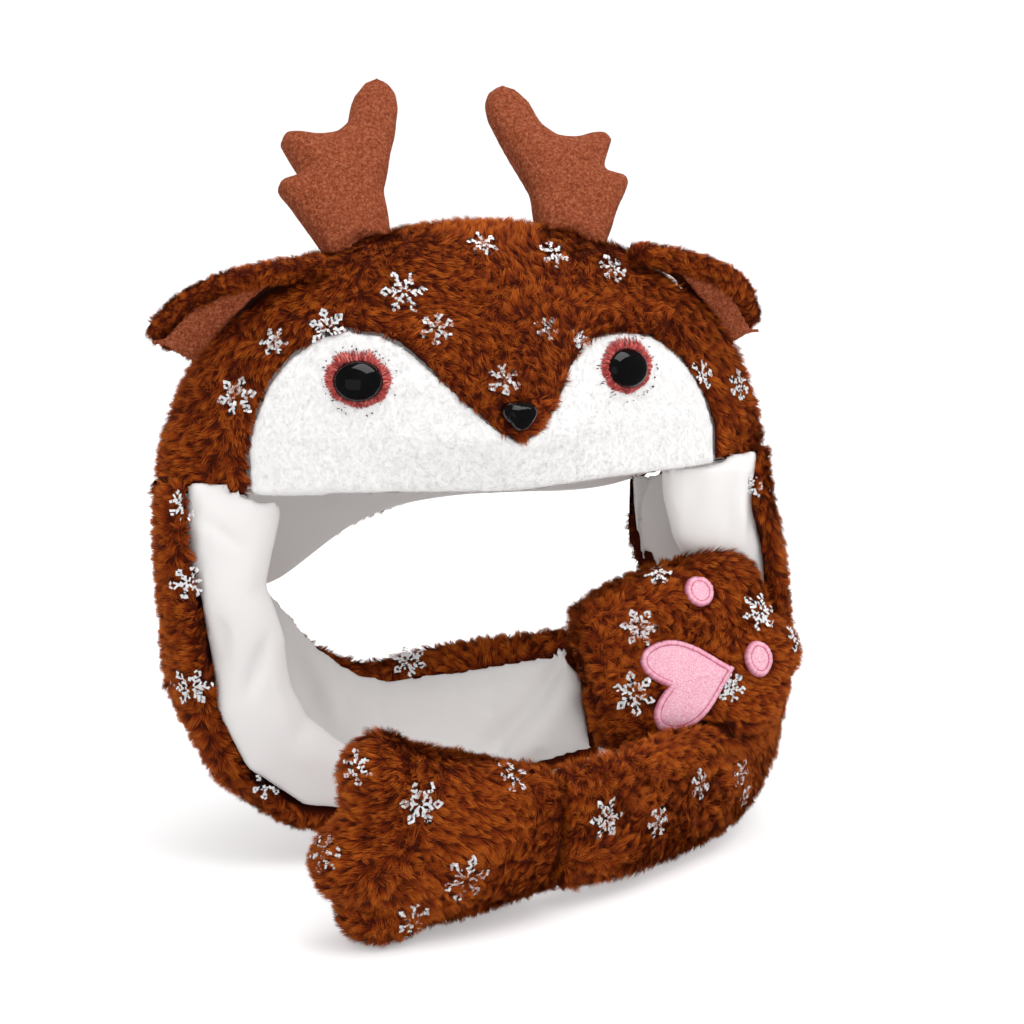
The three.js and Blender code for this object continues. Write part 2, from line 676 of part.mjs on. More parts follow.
// A paw lies along X from its cuff to its toes, and its palm faces +Z.
function pawBody(side, growth) {
  const rings = smoothRows(PAW_ROWS[side], 9).map(({ along, low, high, half }, k) =>
    Array.from({ length: PAW_SIDES }, (_, i) => {
      const angle = (i / PAW_SIDES) * 2 * Math.PI;
      const reach = k === 0 ? -growth : 0;
      const depths = [-half - growth, half + growth];
      const [across, depth] = roundedSection(angle, [low - growth, high + growth], depths);
      return vec(along + reach, across, depth);
    }),
  );
  const toe = ({ along, across, long, half, thick }) =>
    ellipsoid([along, across, 0], [long + growth, half + growth, thick + growth], 12, 8);
  return TOES[side].reduce((solid, row) => solid.add(toe(row)), loft(rings));
}

// The pocket is a flat slot, open at the cuff beside the arm's end.
function pocket(side) {
  const rows = PAW_ROWS[side].filter(({ along }) => along < POCKET.end);
  const rings = [{ ...rows[0], along: POCKET.mouth }, ...rows, { ...rows.at(-1), along: POCKET.end }].map(
    ({ along, low, high }) =>
      Array.from({ length: PAW_SIDES }, (_, i) => {
        const angle = (i / PAW_SIDES) * 2 * Math.PI;
        const sides = [low + POCKET.edge, high - POCKET.edge];
        const [across, depth] = roundedSection(angle, sides, [POCKET.low, POCKET.high]);
        return vec(along, across, depth);
      }),
  );
  return loft(rings);
}

const HEART_POINTS = 28;
const HEART_WAVES = [0.81, -0.31, -0.125, -0.0625];

// A heart with its tip towards +X, from its notch round both lobes.
function heart({ along, across, size, turnDeg }) {
  const turn = THREE.MathUtils.degToRad(turnDeg);
  return Array.from({ length: HEART_POINTS }, (_, i) => {
    const t = (i / HEART_POINTS) * 2 * Math.PI;
    const y = size * Math.sin(t) * Math.abs(Math.sin(t));
    const tall = HEART_WAVES.reduce((sum, wave, k) => sum + wave * Math.cos((k + 1) * t), 0);
    const x = -HEART_LENGTH * size * tall;
    const [c, s] = [Math.cos(turn), Math.sin(turn)];
    return [along + x * c - y * s, across + x * s + y * c];
  });
}

function prismAlongZ(points, depth) {
  const outline = new THREE.Shape(points.map(([x, y]) => new THREE.Vector2(x, y)));
  return solidOf(new THREE.ExtrudeGeometry(outline, { depth, bevelEnabled: false }));
}

const PAWS = {
  left: { cuff: [46, -33, 78], along: [1, -0.05, 0.14], palm: [-0.12, -0.93, 0.35] },
  right: { cuff: [1.5, -106, 30], along: [-1, -0.18, 0.09], palm: [-0.18, 1, 0.06] },
};

for (const [side, { cuff, along, palm }] of Object.entries(PAWS)) {
  const u = vec(...along).normalize();
  const n = vec(...palm).projectOnPlane(u).normalize();
  const v = vec(0, 0, 0).crossVectors(n, u);
  const place = new THREE.Matrix4().makeBasis(u, v, n).setPosition(...cuff);
  const put = (solid) => solid.transform(place.elements).subtract(blocks.right).subtract(blocks.left);
  const padSkin = pawBody(side, GAP + PAD_THICK).subtract(pawBody(side, GAP));
  addPiece(`paw_${side}`, put(pawBody(side, 0).subtract(pocket(side))), "brownPlush");
  const addPad = (name, outline) =>
    addPiece(name, put(padSkin.intersect(prismAlongZ(outline, PAD_REACH))), "pinkFelt");
  addPad(`heart_pad_${side}`, heart(HEARTS[side]));
  TOE_PADS[side].forEach((pad, k) => {
    const oval = ellipse(pad.along, pad.across, pad.halfAlong, pad.halfAcross, 12);
    addPad(`toe_pad_${side}_${k + 1}`, oval);
  });
}

export default hat;
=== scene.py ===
"""A plush reindeer hood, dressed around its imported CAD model.

Long brown pile, a white plush face, velvet antlers and ears, gloss eyes and nose, white velour linings,
silver foil snowflakes and pink felt pads. All places are in the row frame, in metres.
"""

import logging
import math
from dataclasses import dataclass, field, replace
from enum import Enum
from typing import Callable, Iterable, Optional, Sequence

import bpy
import numpy as np
from mathutils import Matrix, Vector
from mathutils.bvhtree import BVHTree
from mathutils.kdtree import KDTree


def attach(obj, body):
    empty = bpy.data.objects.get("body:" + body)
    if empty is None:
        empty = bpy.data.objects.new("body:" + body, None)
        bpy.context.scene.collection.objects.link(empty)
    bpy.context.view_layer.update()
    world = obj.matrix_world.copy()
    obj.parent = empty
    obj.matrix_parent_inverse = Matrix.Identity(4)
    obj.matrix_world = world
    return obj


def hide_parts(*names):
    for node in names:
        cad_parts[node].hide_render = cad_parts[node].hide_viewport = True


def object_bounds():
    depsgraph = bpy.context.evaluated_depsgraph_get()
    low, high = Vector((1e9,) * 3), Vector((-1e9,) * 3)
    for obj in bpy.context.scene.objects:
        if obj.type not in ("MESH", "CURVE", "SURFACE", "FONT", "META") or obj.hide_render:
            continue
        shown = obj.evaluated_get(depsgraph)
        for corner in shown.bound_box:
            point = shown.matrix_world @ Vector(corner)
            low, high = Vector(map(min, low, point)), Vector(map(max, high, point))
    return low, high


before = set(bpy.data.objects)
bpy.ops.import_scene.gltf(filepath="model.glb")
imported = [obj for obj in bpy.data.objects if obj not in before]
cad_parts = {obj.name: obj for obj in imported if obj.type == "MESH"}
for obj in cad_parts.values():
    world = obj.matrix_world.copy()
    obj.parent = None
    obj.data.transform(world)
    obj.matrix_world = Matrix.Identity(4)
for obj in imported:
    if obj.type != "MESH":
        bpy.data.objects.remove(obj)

LOG = logging.getLogger("reindeer_hood")
CAD_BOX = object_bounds()
MM = 0.001
SEAT_HEIGHT = 278.7
TABLE_Z = CAD_BOX[0].z - 0.0003
RESTING_GAP = 0.0004
COVER_REACH = 2.6
CRUMB_SHARE = 0.04
SIDES = ("left", "right")
UP = Vector((0, 0, 1))
PILE = "pile"
Tree = bpy.types.NodeTree
Node = bpy.types.Node
Body = bpy.types.Object
Mesh = bpy.types.Mesh
Socket = bpy.types.NodeSocket


def place(x: float, y: float, z: float) -> Vector:
    """A place given in millimetres over the table, as a point of the row frame."""
    return Vector((x * MM, y * MM, (z - SEAT_HEIGHT) * MM))


def linear(hex_colour: str) -> tuple[float, float, float, float]:
    """Turns an sRGB colour such as "#9a4f1a" into linear red, green, blue and a full alpha."""
    parts = [int(hex_colour[i : i + 2], 16) / 255 for i in (1, 3, 5)]
    values = [c / 12.92 if c <= 0.04045 else ((c + 0.055) / 1.055) ** 2.4 for c in parts]
    return (*values, 1.0)


def add_node(tree: Tree, kind: str, inputs: Optional[dict] = None, **settings) -> Node:
    """Adds one node with its settings and links.

    Args:
        tree: The node tree that the node goes into.
        kind: The node's Blender type.
        inputs: For each input, by name or number, a value or the output that it is linked to.
        settings: The node's own settings, and stops for a colour ramp as (place, hex colour) pairs.

    Returns:
        The new node.
    """
    node = tree.nodes.new(kind)
    stops = settings.pop("stops", None)
    for name, value in settings.items():
        setattr(node, name, value)
    for key, value in (inputs or {}).items():
        if isinstance(value, Socket):
            tree.links.new(value, node.inputs[key])
        else:
            node.inputs[key].default_value = value
    if stops:
        elements = node.color_ramp.elements
        while len(elements) < len(stops):
            elements.new(0.5)
        for element, (position, colour) in zip(elements, stops):
            element.position = position
            element.color = linear(colour)
    return node


def new_material(name: str) -> tuple[bpy.types.Material, Tree, Node]:
    """Makes a material of one Principled shader.

    Args:
        name: The material's name.

    Returns:
        The material, its node tree and its shader node.
    """
    material = bpy.data.materials.new(name)
    material.use_nodes = True
    tree = material.node_tree
    tree.nodes.clear()
    shader = add_node(tree, "ShaderNodeBsdfPrincipled")
    add_node(tree, "ShaderNodeOutputMaterial", {"Surface": shader.outputs["BSDF"]})
    return material, tree, shader


def set_inputs(shader: Node, **values) -> None:
    """Sets a shader's uniform values, by input name with underscores for its spaces."""
    for name, value in values.items():
        shader.inputs[name.replace("_", " ")].default_value = value


def add_noise(tree: Tree, size_mm: float, **inputs) -> Socket:
    """Adds noise of a real size and returns its value."""
    where = add_node(tree, "ShaderNodeTexCoord").outputs["Object"]
    settings = {"Vector": where, "Scale": 1 / (size_mm * MM), **inputs}
    return add_node(tree, "ShaderNodeTexNoise", settings).outputs["Fac"]


def add_bump(tree: Tree, shader: Node, height: Socket, strength: float, deep_mm: float) -> None:
    """Links a bump of a real depth to a shader."""
    inputs = {"Height": height, "Strength": strength, "Distance": deep_mm * MM}
    bump = add_node(tree, "ShaderNodeBump", inputs)
    tree.links.new(bump.outputs["Normal"], shader.inputs["Normal"])


def add_tones(tree: Tree) -> Node:
    """Reads the tones that are written on threads, foil and pile: red runs along, green is the tone."""
    tones = add_node(tree, "ShaderNodeAttribute", attribute_name=PILE, attribute_type="GEOMETRY")
    return add_node(tree, "ShaderNodeSeparateColor", {"Color": tones.outputs["Color"]})


def add_ramp(tree: Tree, shader: Node, value: Socket, stops: Sequence[tuple[float, str]]) -> None:
    """Links a colour ramp over a value to a shader's colour."""
    ramp = add_node(tree, "ShaderNodeValToRGB", {"Fac": value}, stops=stops)
    tree.links.new(ramp.outputs["Color"], shader.inputs["Base Color"])


@dataclass(frozen=True)
class PlushFinish:
    """Polyester pile, knitted and cut: matte fibres, painted with shade at the root and with light at the
    tip, where light shines through.
    """

    name: str
    root: str
    middle: str
    tip: str
    tuft_change: float
    sheen: float
    sheen_tint: str

    def make(self) -> bpy.types.Material:
        """Builds the material, whose colour runs along each fibre, from painted shade at the root to painted
        light at the tip, and changes from tuft to tuft.

        A fibre is round, so a blade that stands for it is lit from outside on both of its faces.
        """
        material, tree, shader = new_material(self.name)
        parts = add_tones(tree)
        shift = add_node(
            tree,
            "ShaderNodeMath",
            {0: parts.outputs["Green"], 1: self.tuft_change, 2: parts.outputs["Red"]},
            operation="MULTIPLY_ADD",
        )
        centred = add_node(
            tree,
            "ShaderNodeMath",
            {0: shift.outputs[0], 1: self.tuft_change / 2},
            operation="SUBTRACT",
            use_clamp=True,
        )
        # The stops run from painted shade at the roots to painted light at the tips.
        stops = [(0.0, self.root), (0.5, self.middle), (1.0, self.tip)]
        add_ramp(tree, shader, centred.outputs[0], stops)
        geometry = add_node(tree, "ShaderNodeNewGeometry")
        side = add_node(
            tree,
            "ShaderNodeMath",
            {0: geometry.outputs["Backfacing"], 1: -2.0, 2: 1.0},
            operation="MULTIPLY_ADD",
        )
        outwards = add_node(
            tree,
            "ShaderNodeVectorMath",
            {0: geometry.outputs["Normal"], "Scale": side.outputs[0]},
            operation="SCALE",
        )
        tree.links.new(outwards.outputs[0], shader.inputs["Normal"])
        set_inputs(shader, Roughness=0.8, Specular_IOR_Level=0.12, Sheen_Weight=self.sheen)
        set_inputs(shader, Sheen_Roughness=0.45, Sheen_Tint=linear(self.sheen_tint))
        return material


@dataclass(frozen=True)
class ShortPileFinish:
    """Velour or velvet: a knitted cloth with a cut pile under 2 mm, which lies in patches that shade."""

    name: str
    shaded: str
    base: str
    lit: str
    patch_mm: float
    fibre_mm: float
    bump_mm: float
    sheen: float
    roughness: float = 0.9

    def make(self) -> bpy.types.Material:
        """Builds the material: brushed patches and the grain of the fibres in painted shade and painted
        light, and a soft sheen.
        """
        material, tree, shader = new_material(self.name)
        patches = add_noise(tree, self.patch_mm, Detail=3.0, Roughness=0.65, Distortion=0.6)
        grain = add_noise(tree, self.fibre_mm, Detail=4.0, Roughness=0.75)
        blend = add_node(tree, "ShaderNodeMix", {0: 0.45, 2: patches, 3: grain}, data_type="FLOAT")
        # The noise picks shaded, base and lit tones of one cloth: painted shade and painted light over its
        # patches and grain.
        stops = [(0.39, self.shaded), (0.5, self.base), (0.61, self.lit)]
        add_ramp(tree, shader, blend.outputs[0], stops)
        add_bump(tree, shader, grain, 1.0, self.bump_mm)
        set_inputs(shader, Roughness=self.roughness, Specular_IOR_Level=0.2, Sheen_Weight=self.sheen)
        set_inputs(shader, Sheen_Roughness=0.5, Sheen_Tint=linear(self.lit))
        return material


@dataclass(frozen=True)
class GlossFinish:
    """Moulded acrylic, polished: deep black with a sharp reflection over faint moulding ripples."""

    name: str
    colour: str
    ripple_mm: float
    ripple_deep_mm: float

    def make(self) -> bpy.types.Material:
        """Builds the material: a near black base and a slow ripple."""
        material, tree, shader = new_material(self.name)
        ripple = add_noise(tree, self.ripple_mm, Detail=1.0)
        add_ramp(tree, shader, ripple, [(0.3, "#050506"), (0.8, self.colour)])
        add_bump(tree, shader, ripple, 0.5, self.ripple_deep_mm)
        set_inputs(shader, Roughness=0.07)
        return material


@dataclass(frozen=True)
class ThreadFinish:
    """Embroidery thread of trilobal polyester: bright, with a shine along the twist."""

    name: str
    dark: str
    base: str
    lit: str
    roughness: float = 0.45

    def make(self) -> bpy.types.Material:
        """Builds the material, whose tone changes from thread to thread."""
        material, tree, shader = new_material(self.name)
        tone = add_tones(tree).outputs["Green"]
        add_ramp(tree, shader, tone, [(0.0, self.dark), (0.5, self.base), (1.0, self.lit)])
        set_inputs(shader, Roughness=self.roughness, Sheen_Weight=0.25)
        return material


@dataclass(frozen=True)
class FoilFinish:
    """Hot-stamped silver foil: mirror bright flakes that the pile has broken up."""

    name: str
    painted_shadow: str
    bright: str

    def make(self) -> bpy.types.Material:
        """Builds the material: a part metal whose shards differ in tone at random; the lowest tones are
        painted near black, as painted shadow in the gaps where the pile breaks the foil up.
        """
        material, tree, shader = new_material(self.name)
        tone = add_tones(tree).outputs["Green"]
        # Tones up to 0.12 take the painted shadow colour, for the dark gaps round the shards.
        stops = [(0.0, self.painted_shadow), (0.12, self.painted_shadow), (0.2, self.bright), (1.0, "#ffffff")]
        add_ramp(tree, shader, tone, stops)
        set_inputs(shader, Metallic=0.25, Roughness=0.34)
        return material


class Cloth(Enum):
    """The finishes that are sewn, stitched, printed or glued on the hood."""

    # The plush stops run root, middle, tip: painted shade at the root, painted light at the tip.
    BROWN_PLUSH = PlushFinish("brown_plush_pile", "#481403", "#903607", "#cb681e", 0.6, 0.03, "#e09a50")
    WHITE_PLUSH = PlushFinish("white_plush_pile", "#f8f7f6", "#fcfbfa", "#ffffff", 0.1, 0.03, "#ffffff")
    WHITE_VELOUR = ShortPileFinish("white_velour", "#ebe8e6", "#f4f2f1", "#fcfbfa", 1.6, 0.9, 0.6, 0.05)
    RUST_VELVET = ShortPileFinish("rust_crushed_velvet", "#6c2d15", "#8f4427", "#b06848", 1.5, 0.6, 0.4, 0.3)
    PINK_FELT = ShortPileFinish("pink_needle_felt", "#e58da9", "#f6b8ca", "#fdd8e2", 0.7, 0.5, 0.35, 0.05)
    PINK_THREAD = ThreadFinish("pink_satin_stitch", "#cc5a7d", "#ee9ab3", "#f9c6d4")
    CORAL_THREAD = ThreadFinish("coral_embroidery", "#22090d", "#bd3232", "#ea7c6e")
    BLACK_GLOSS = GlossFinish("polished_black_acrylic", "#0a0a0c", 6.0, 0.15)
    HAMMERED_GLOSS = GlossFinish("hammered_black_acrylic", "#0a0a0c", 2.2, 0.8)
    # The first foil colour is painted shadow, for the dark gaps where the pile breaks the flakes up.
    SILVER_FOIL = FoilFinish("hot_stamped_silver_foil", "#17171a", "#f1f1f3")

    def material(self) -> bpy.types.Material:
        """The finish's material, made once."""
        return bpy.data.materials.get(self.value.name) or self.value.make()


def select_only(obj: Body) -> None:
    """Leaves one object selected and active."""
    bpy.ops.object.select_all(action="DESELECT")
    obj.select_set(True)
    bpy.context.view_layer.objects.active = obj


def apply_modifier(obj: Body, kind: str, **settings) -> None:
    """Adds one modifier with its settings and applies it at once."""
    select_only(obj)
    modifier = obj.modifiers.new(kind.lower(), kind)
    for name, value in settings.items():
        setattr(modifier, name, value)
    bpy.ops.object.modifier_apply(modifier=modifier.name)


def add_object(name: str, mesh: Mesh) -> Body:
    """Links a new object of a mesh into the scene."""
    obj = bpy.data.objects.new(name, mesh)
    bpy.context.scene.collection.objects.link(obj)
    return obj


def points_of(mesh: Mesh) -> np.ndarray:
    """The mesh's vertices, one row each."""
    points = np.zeros(len(mesh.vertices) * 3)
    mesh.vertices.foreach_get("co", points)
    return points.reshape(-1, 3)


def normals_of(mesh: Mesh) -> np.ndarray:
    """The mesh's vertex normals, one row each."""
    normals = np.zeros(len(mesh.vertices) * 3, np.float32)
    mesh.vertex_normals.foreach_get("vector", normals)
    return normals.reshape(-1, 3).astype(float)


def move_points(mesh: Mesh, points: np.ndarray) -> None:
    """Puts the mesh's vertices at new places."""
    mesh.vertices.foreach_set("co", points.astype(np.float32).ravel())
    mesh.update()


def mesh_of(name: str, points: np.ndarray, faces: Sequence[np.ndarray]) -> Mesh:
    """Builds a mesh from arrays.

    Args:
        name: The mesh's name.
        points: The vertices, one row each.
        faces: Arrays of faces; all the faces in an array have equally many corners.

    Returns:
        The new mesh.
    """
    mesh = bpy.data.meshes.new(name)
    mesh.vertices.add(len(points))
    mesh.vertices.foreach_set("co", points.astype(np.float32).ravel())
    corners = np.concatenate([f.ravel() for f in faces]).astype(np.int32)
    sizes = np.concatenate([np.full(len(f), f.shape[1]) for f in faces])
    mesh.loops.add(len(corners))
    mesh.loops.foreach_set("vertex_index", corners)
    mesh.polygons.add(len(sizes))
    mesh.polygons.foreach_set("loop_start", (np.cumsum(sizes) - sizes).astype(np.int32))
    mesh.update(calc_edges=True)
    return mesh


def unit(vectors: np.ndarray) -> np.ndarray:
    """Rows of length one."""
    return vectors / np.maximum(np.linalg.norm(vectors, axis=1, keepdims=True), 1e-12)


def tree_of(objects: Iterable[Body]) -> BVHTree:
    """One search tree over the faces of several objects that sit at the origin."""
    points: list[Vector] = []
    faces: list[list[int]] = []
    for obj in objects:
        start = len(points)
        points += [v.co.copy() for v in obj.data.vertices]
        faces += [[start + i for i in p.vertices] for p in obj.data.polygons]
    return BVHTree.FromPolygons(points, faces)


def swirl(points: np.ndarray, reach: float, seed: int) -> np.ndarray:
    """A smooth field of random directions.

    Args:
        points: Where the field is read, one row each.
        reach: How far the field runs before it turns, in metres.
        seed: The seed of the field.

    Returns:
        One vector per point, mostly shorter than one.
    """
    rng = np.random.default_rng(seed)
    field_at = np.zeros_like(points)
    waves = 14
    for _ in range(waves):
        wave = rng.normal(size=3) / reach
        field_at += np.outer(np.sin(points @ wave + rng.uniform(0, 2 * math.pi)), rng.normal(size=3))
    return field_at / math.sqrt(waves)


def soft_copy(
    name: str, nodes: Sequence[str], voxel_mm: float, smoothing: int, fuller_mm: float = 0.0
) -> Body:
    """Copies CAD solids into one soft closed skin.

    Args:
        name: The new object's name.
        nodes: The CAD nodes that are copied and joined.
        voxel_mm: The size of the even faces that the skin is made of.
        smoothing: How many times the skin is smoothed.
        fuller_mm: How far the solids' skin stands out before it is remade, so that thin cloth lasts.

    Returns:
        The new object, which stands for the nodes.
    """
    copies = [add_object(f"{name}_{node}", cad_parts[node].data.copy()) for node in nodes]
    bpy.ops.object.select_all(action="DESELECT")
    for copy in copies:
        copy.select_set(True)
    bpy.context.view_layer.objects.active = copies[0]
    if len(copies) > 1:
        bpy.ops.object.join()
    skin = copies[0]
    skin.name = name
    skin.data.materials.clear()
    apply_modifier(skin, "WELD", merge_threshold=0.02 * MM)
    shift(skin, fuller_mm)
    apply_modifier(skin, "REMESH", mode="VOXEL", voxel_size=voxel_mm * MM, use_smooth_shade=True)
    skin = without_crumbs(skin)
    if smoothing:
        apply_modifier(skin, "SMOOTH", factor=0.5, iterations=smoothing)
    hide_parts(*nodes)
    return skin


def without_crumbs(skin: Body) -> Body:
    """Takes away the crumbs that a remesh leaves where a solid is thinner than its faces."""
    name, whole = skin.name, len(skin.data.vertices)
    select_only(skin)
    bpy.ops.object.mode_set(mode="EDIT")
    bpy.ops.mesh.select_all(action="SELECT")
    bpy.ops.mesh.separate(type="LOOSE")
    bpy.ops.object.mode_set(mode="OBJECT")
    parts = list(bpy.context.selected_objects)
    kept = [part for part in parts if len(part.data.vertices) > whole * CRUMB_SHARE]
    for part in parts:
        if part not in kept:
            bpy.data.objects.remove(part)
    bpy.ops.object.select_all(action="DESELECT")
    for part in kept:
        part.select_set(True)
    bpy.context.view_layer.objects.active = kept[0]
    if len(kept) > 1:
        bpy.ops.object.join()
    kept[0].name = name
    return kept[0]


def swell(skin: Body, start_mm: float, most_mm: float, pressure: float = 4.0) -> None:
    """Blows a stuffed piece up with a cloth simulation, as its filling does.

    Args:
        skin: The piece, a closed skin.
        start_mm: How much smaller the piece starts.
        most_mm: How far a point may move at most.
        pressure: The cloth's inner pressure.
    """
    shift(skin, -start_mm)
    before = points_of(skin.data)
    select_only(skin)
    cloth = skin.modifiers.new("filling", "CLOTH")
    cloth.settings.use_pressure = True
    cloth.settings.uniform_pressure_force = pressure
    cloth.settings.effector_weights.gravity = 0.0
    cloth.settings.quality = 4
    for step in range(1, 21):
        bpy.context.scene.frame_set(step)
    bpy.ops.object.modifier_apply(modifier=cloth.name)
    bpy.context.scene.frame_set(1)
    move = points_of(skin.data) - before
    length = np.linalg.norm(move, axis=1, keepdims=True)
    cap = most_mm * MM
    move_points(skin.data, before + move * np.minimum(1, cap / np.maximum(length, 1e-9)))


def shift(skin: Body, distance_mm: float) -> None:
    """Moves a skin outwards along its normals, or inwards where the distance is negative."""
    move_points(skin.data, points_of(skin.data) + normals_of(skin.data) * distance_mm * MM)


def ease(skin: Body, covers: BVHTree, open_mm: float, covered_mm: float) -> None:
    """Lets a skin stand proud where it is free, and draws it in where a neighbour lies over it.

    Args:
        skin: The skin.
        covers: The neighbours.
        open_mm: How far its free parts move outwards.
        covered_mm: How far its covered parts move inwards.
    """
    points, normals = points_of(skin.data), normals_of(skin.data)
    hidden = np.zeros(len(points))
    for i, (point, normal) in enumerate(zip(points, normals)):
        hidden[i] = covers.ray_cast(point + normal * 0.1 * MM, normal, COVER_REACH * MM)[0] is not None
    edges = np.zeros(len(skin.data.edges) * 2, np.int32)
    skin.data.edges.foreach_get("vertices", edges)
    first, second = edges.reshape(-1, 2).T
    meeting = np.bincount(edges, minlength=len(points)) + 1
    for _ in range(2):
        total = hidden.copy()
        np.add.at(total, first, hidden[second])
        np.add.at(total, second, hidden[first])
        hidden = total / meeting
    step = open_mm - (open_mm + covered_mm) * np.clip(hidden * 2, 0, 1)
    move_points(skin.data, points + normals * (step * MM)[:, None])


def rest_on_table(points: np.ndarray) -> np.ndarray:
    """Keeps points from going through the surface that the arms lie on."""
    points[:, 2] = np.maximum(points[:, 2], TABLE_Z + RESTING_GAP)
    return points


def dress(obj: Body, cloth: Cloth) -> Body:
    """Gives a finished piece its material and the body that it rides on."""
    if not obj.data.materials:
        obj.data.materials.append(cloth.material())
    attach(obj, "root")
    triangles = sum(len(face.vertices) - 2 for face in obj.data.polygons)
    LOG.info("%s: %d triangles, %s", obj.name, triangles, cloth.name)
    return obj


@dataclass(frozen=True)
class Pile:
    """Cut pile as separate fibres that lean and gather in tufts. Sizes are in millimetres.

    The spreads are given for the tufts first, and then for the fibres of a tuft.
    """

    length: float
    width: float
    per_mm2: float
    tuft: float
    lean_deg: float
    gather: float
    swirl_mm: float
    seed: int
    comb: tuple[float, float, float] = (0.0, 0.0, -0.6)
    bulge: float = 0.5
    nap: float = 0.25
    lean_spread_deg: tuple[float, float] = (9.0, 8.0)
    turn_spread: tuple[float, float] = (0.55, 0.28)
    tuft_long: tuple[float, float] = (0.8, 1.15)
    fibre_long: tuple[float, float] = (0.78, 1.08)
    twist_spread: float = 0.3
    tone_spread: float = 0.16

    def grow(
        self,
        skin: Body,
        covers: BVHTree,
        cloth: Cloth,
        trim: Optional[Callable[[np.ndarray], np.ndarray]] = None,
    ) -> None:
        """Covers the open side of a skin with pile and joins the pile to it.

        Args:
            skin: The backing that the pile is knitted into.
            covers: The neighbours. Where one lies close over the backing, no pile grows.
            cloth: The finish of the pile and its backing.
            trim: Moves the points of fibres that reach too far.
        """
        rng = np.random.default_rng(self.seed)
        roots, normals = self._roots(skin.data, covers, rng)
        tufts = max(8, int(len(roots) / (self.per_mm2 * self.tuft**2)))
        centres = rng.choice(len(roots), tufts, replace=False)
        search = KDTree(tufts)
        for k, i in enumerate(centres):
            search.insert(roots[i], k)
        search.balance()
        nearest = np.array([search.find(p)[1] for p in roots])
        lean = rng.normal(self.lean_deg, self.lean_spread_deg[0], tufts)
        turn = rng.normal(0, self.turn_spread[0], (tufts, 3))
        long = self.length * MM * rng.uniform(*self.tuft_long, tufts)
        tone = rng.uniform(0, 1, tufts)
        tuft_tip, _ = self._fibres(roots[centres], normals[centres], lean, turn, long)
        count = len(roots)
        own_lean = lean[nearest] + rng.normal(0, self.lean_spread_deg[1], count)
        own_turn = turn[nearest] + rng.normal(0, self.turn_spread[1], (count, 3))
        own_long = long[nearest] * rng.uniform(*self.fibre_long, count)
        tip, lying = self._fibres(roots, normals, own_lean, own_turn, own_long)
        tip += (tuft_tip[nearest] - tip) * self.gather
        across = unit(np.cross(tip - roots, normals))
        twist = rng.normal(0, self.twist_spread, (count, 1))
        across = unit(across + np.cross(unit(tip - roots), across) * twist)
        half = across * self.width * MM / 2
        points = np.stack([roots - half, roots + half, tip], axis=1).reshape(-1, 3)
        if trim:
            points = trim(points)
        blades = np.arange(count * 3).reshape(-1, 3)
        pile_mesh = mesh_of(f"{skin.name}_pile", rest_on_table(points), [blades])
        # Red runs from 0 at the root to 1 at the tip; along it the plush finish paints shade at the root and
        # light at the tip.
        along = np.tile([0.0, 0.0, 1.0], count)
        tones = np.repeat(np.clip(tone[nearest] + rng.normal(0, self.tone_spread, count), 0, 1), 3)
        colours = np.stack([along, tones, np.zeros_like(along), np.ones_like(along)], axis=1)
        pile_mesh.attributes.new(PILE, "FLOAT_COLOR", "POINT").data.foreach_set("color", colours.ravel())
        bulge = (roots - roots[centres][nearest]) / (self.tuft * MM)
        soft = unit(normals + self.bulge * bulge + self.nap * lying)
        self._join(skin, pile_mesh, np.repeat(soft, 3, axis=0), cloth)

    def _roots(
        self, mesh: Mesh, covers: BVHTree, rng: np.random.Generator
    ) -> tuple[np.ndarray, np.ndarray]:
        """Scatters the fibres' roots over the faces that nothing covers.

        Args:
            mesh: The backing.
            covers: The neighbours.
            rng: The source of the random draws.

        Returns:
            The roots and the backing's normals there.
        """
        mesh.calc_loop_triangles()
        corners = np.zeros(len(mesh.loop_triangles) * 3, np.int32)
        mesh.loop_triangles.foreach_get("vertices", corners)
        corners = corners.reshape(-1, 3)
        points, normals = points_of(mesh), normals_of(mesh)
        a, b, c = (points[corners[:, i]] for i in range(3))
        area = np.linalg.norm(np.cross(b - a, c - a), axis=1) / 2
        centre, facing = (a + b + c) / 3, unit(np.cross(b - a, c - a))
        for i in range(len(area)):
            start = centre[i] + facing[i] * 0.2 * MM
            if covers.ray_cast(start, facing[i], COVER_REACH * MM)[0] is not None:
                area[i] = 0
        count = int(area.sum() / MM**2 * self.per_mm2)
        picked = rng.choice(len(area), count, p=area / area.sum())
        u, v = np.sqrt(rng.uniform(size=count)), rng.uniform(size=count)
        weights = np.stack([1 - u, u * (1 - v), u * v], axis=1)
        chosen = corners[picked]
        roots = np.einsum("ij,ijk->ik", weights, points[chosen])
        return roots, unit(np.einsum("ij,ijk->ik", weights, normals[chosen]))

    def _fibres(
        self, roots: np.ndarray, normals: np.ndarray, lean: np.ndarray, turn: np.ndarray, long: np.ndarray
    ) -> tuple[np.ndarray, np.ndarray]:
        """Lays fibres over from their roots.

        Args:
            roots: Where they start.
            normals: The backing's normals there.
            lean: How far each leans over from the normal, in degrees.
            turn: What is added to the way that each leans.
            long: How long each is, in metres.

        Returns:
            Their tips and the ways that they lie.
        """
        combed = np.array(self.comb) + swirl(roots, self.swirl_mm * MM, self.seed + 7) + turn
        lying = unit(combed - normals * np.sum(combed * normals, axis=1, keepdims=True))
        angle = np.radians(np.clip(lean, 8, 80))[:, None]
        return roots + (normals * np.cos(angle) + lying * np.sin(angle)) * long[:, None], lying

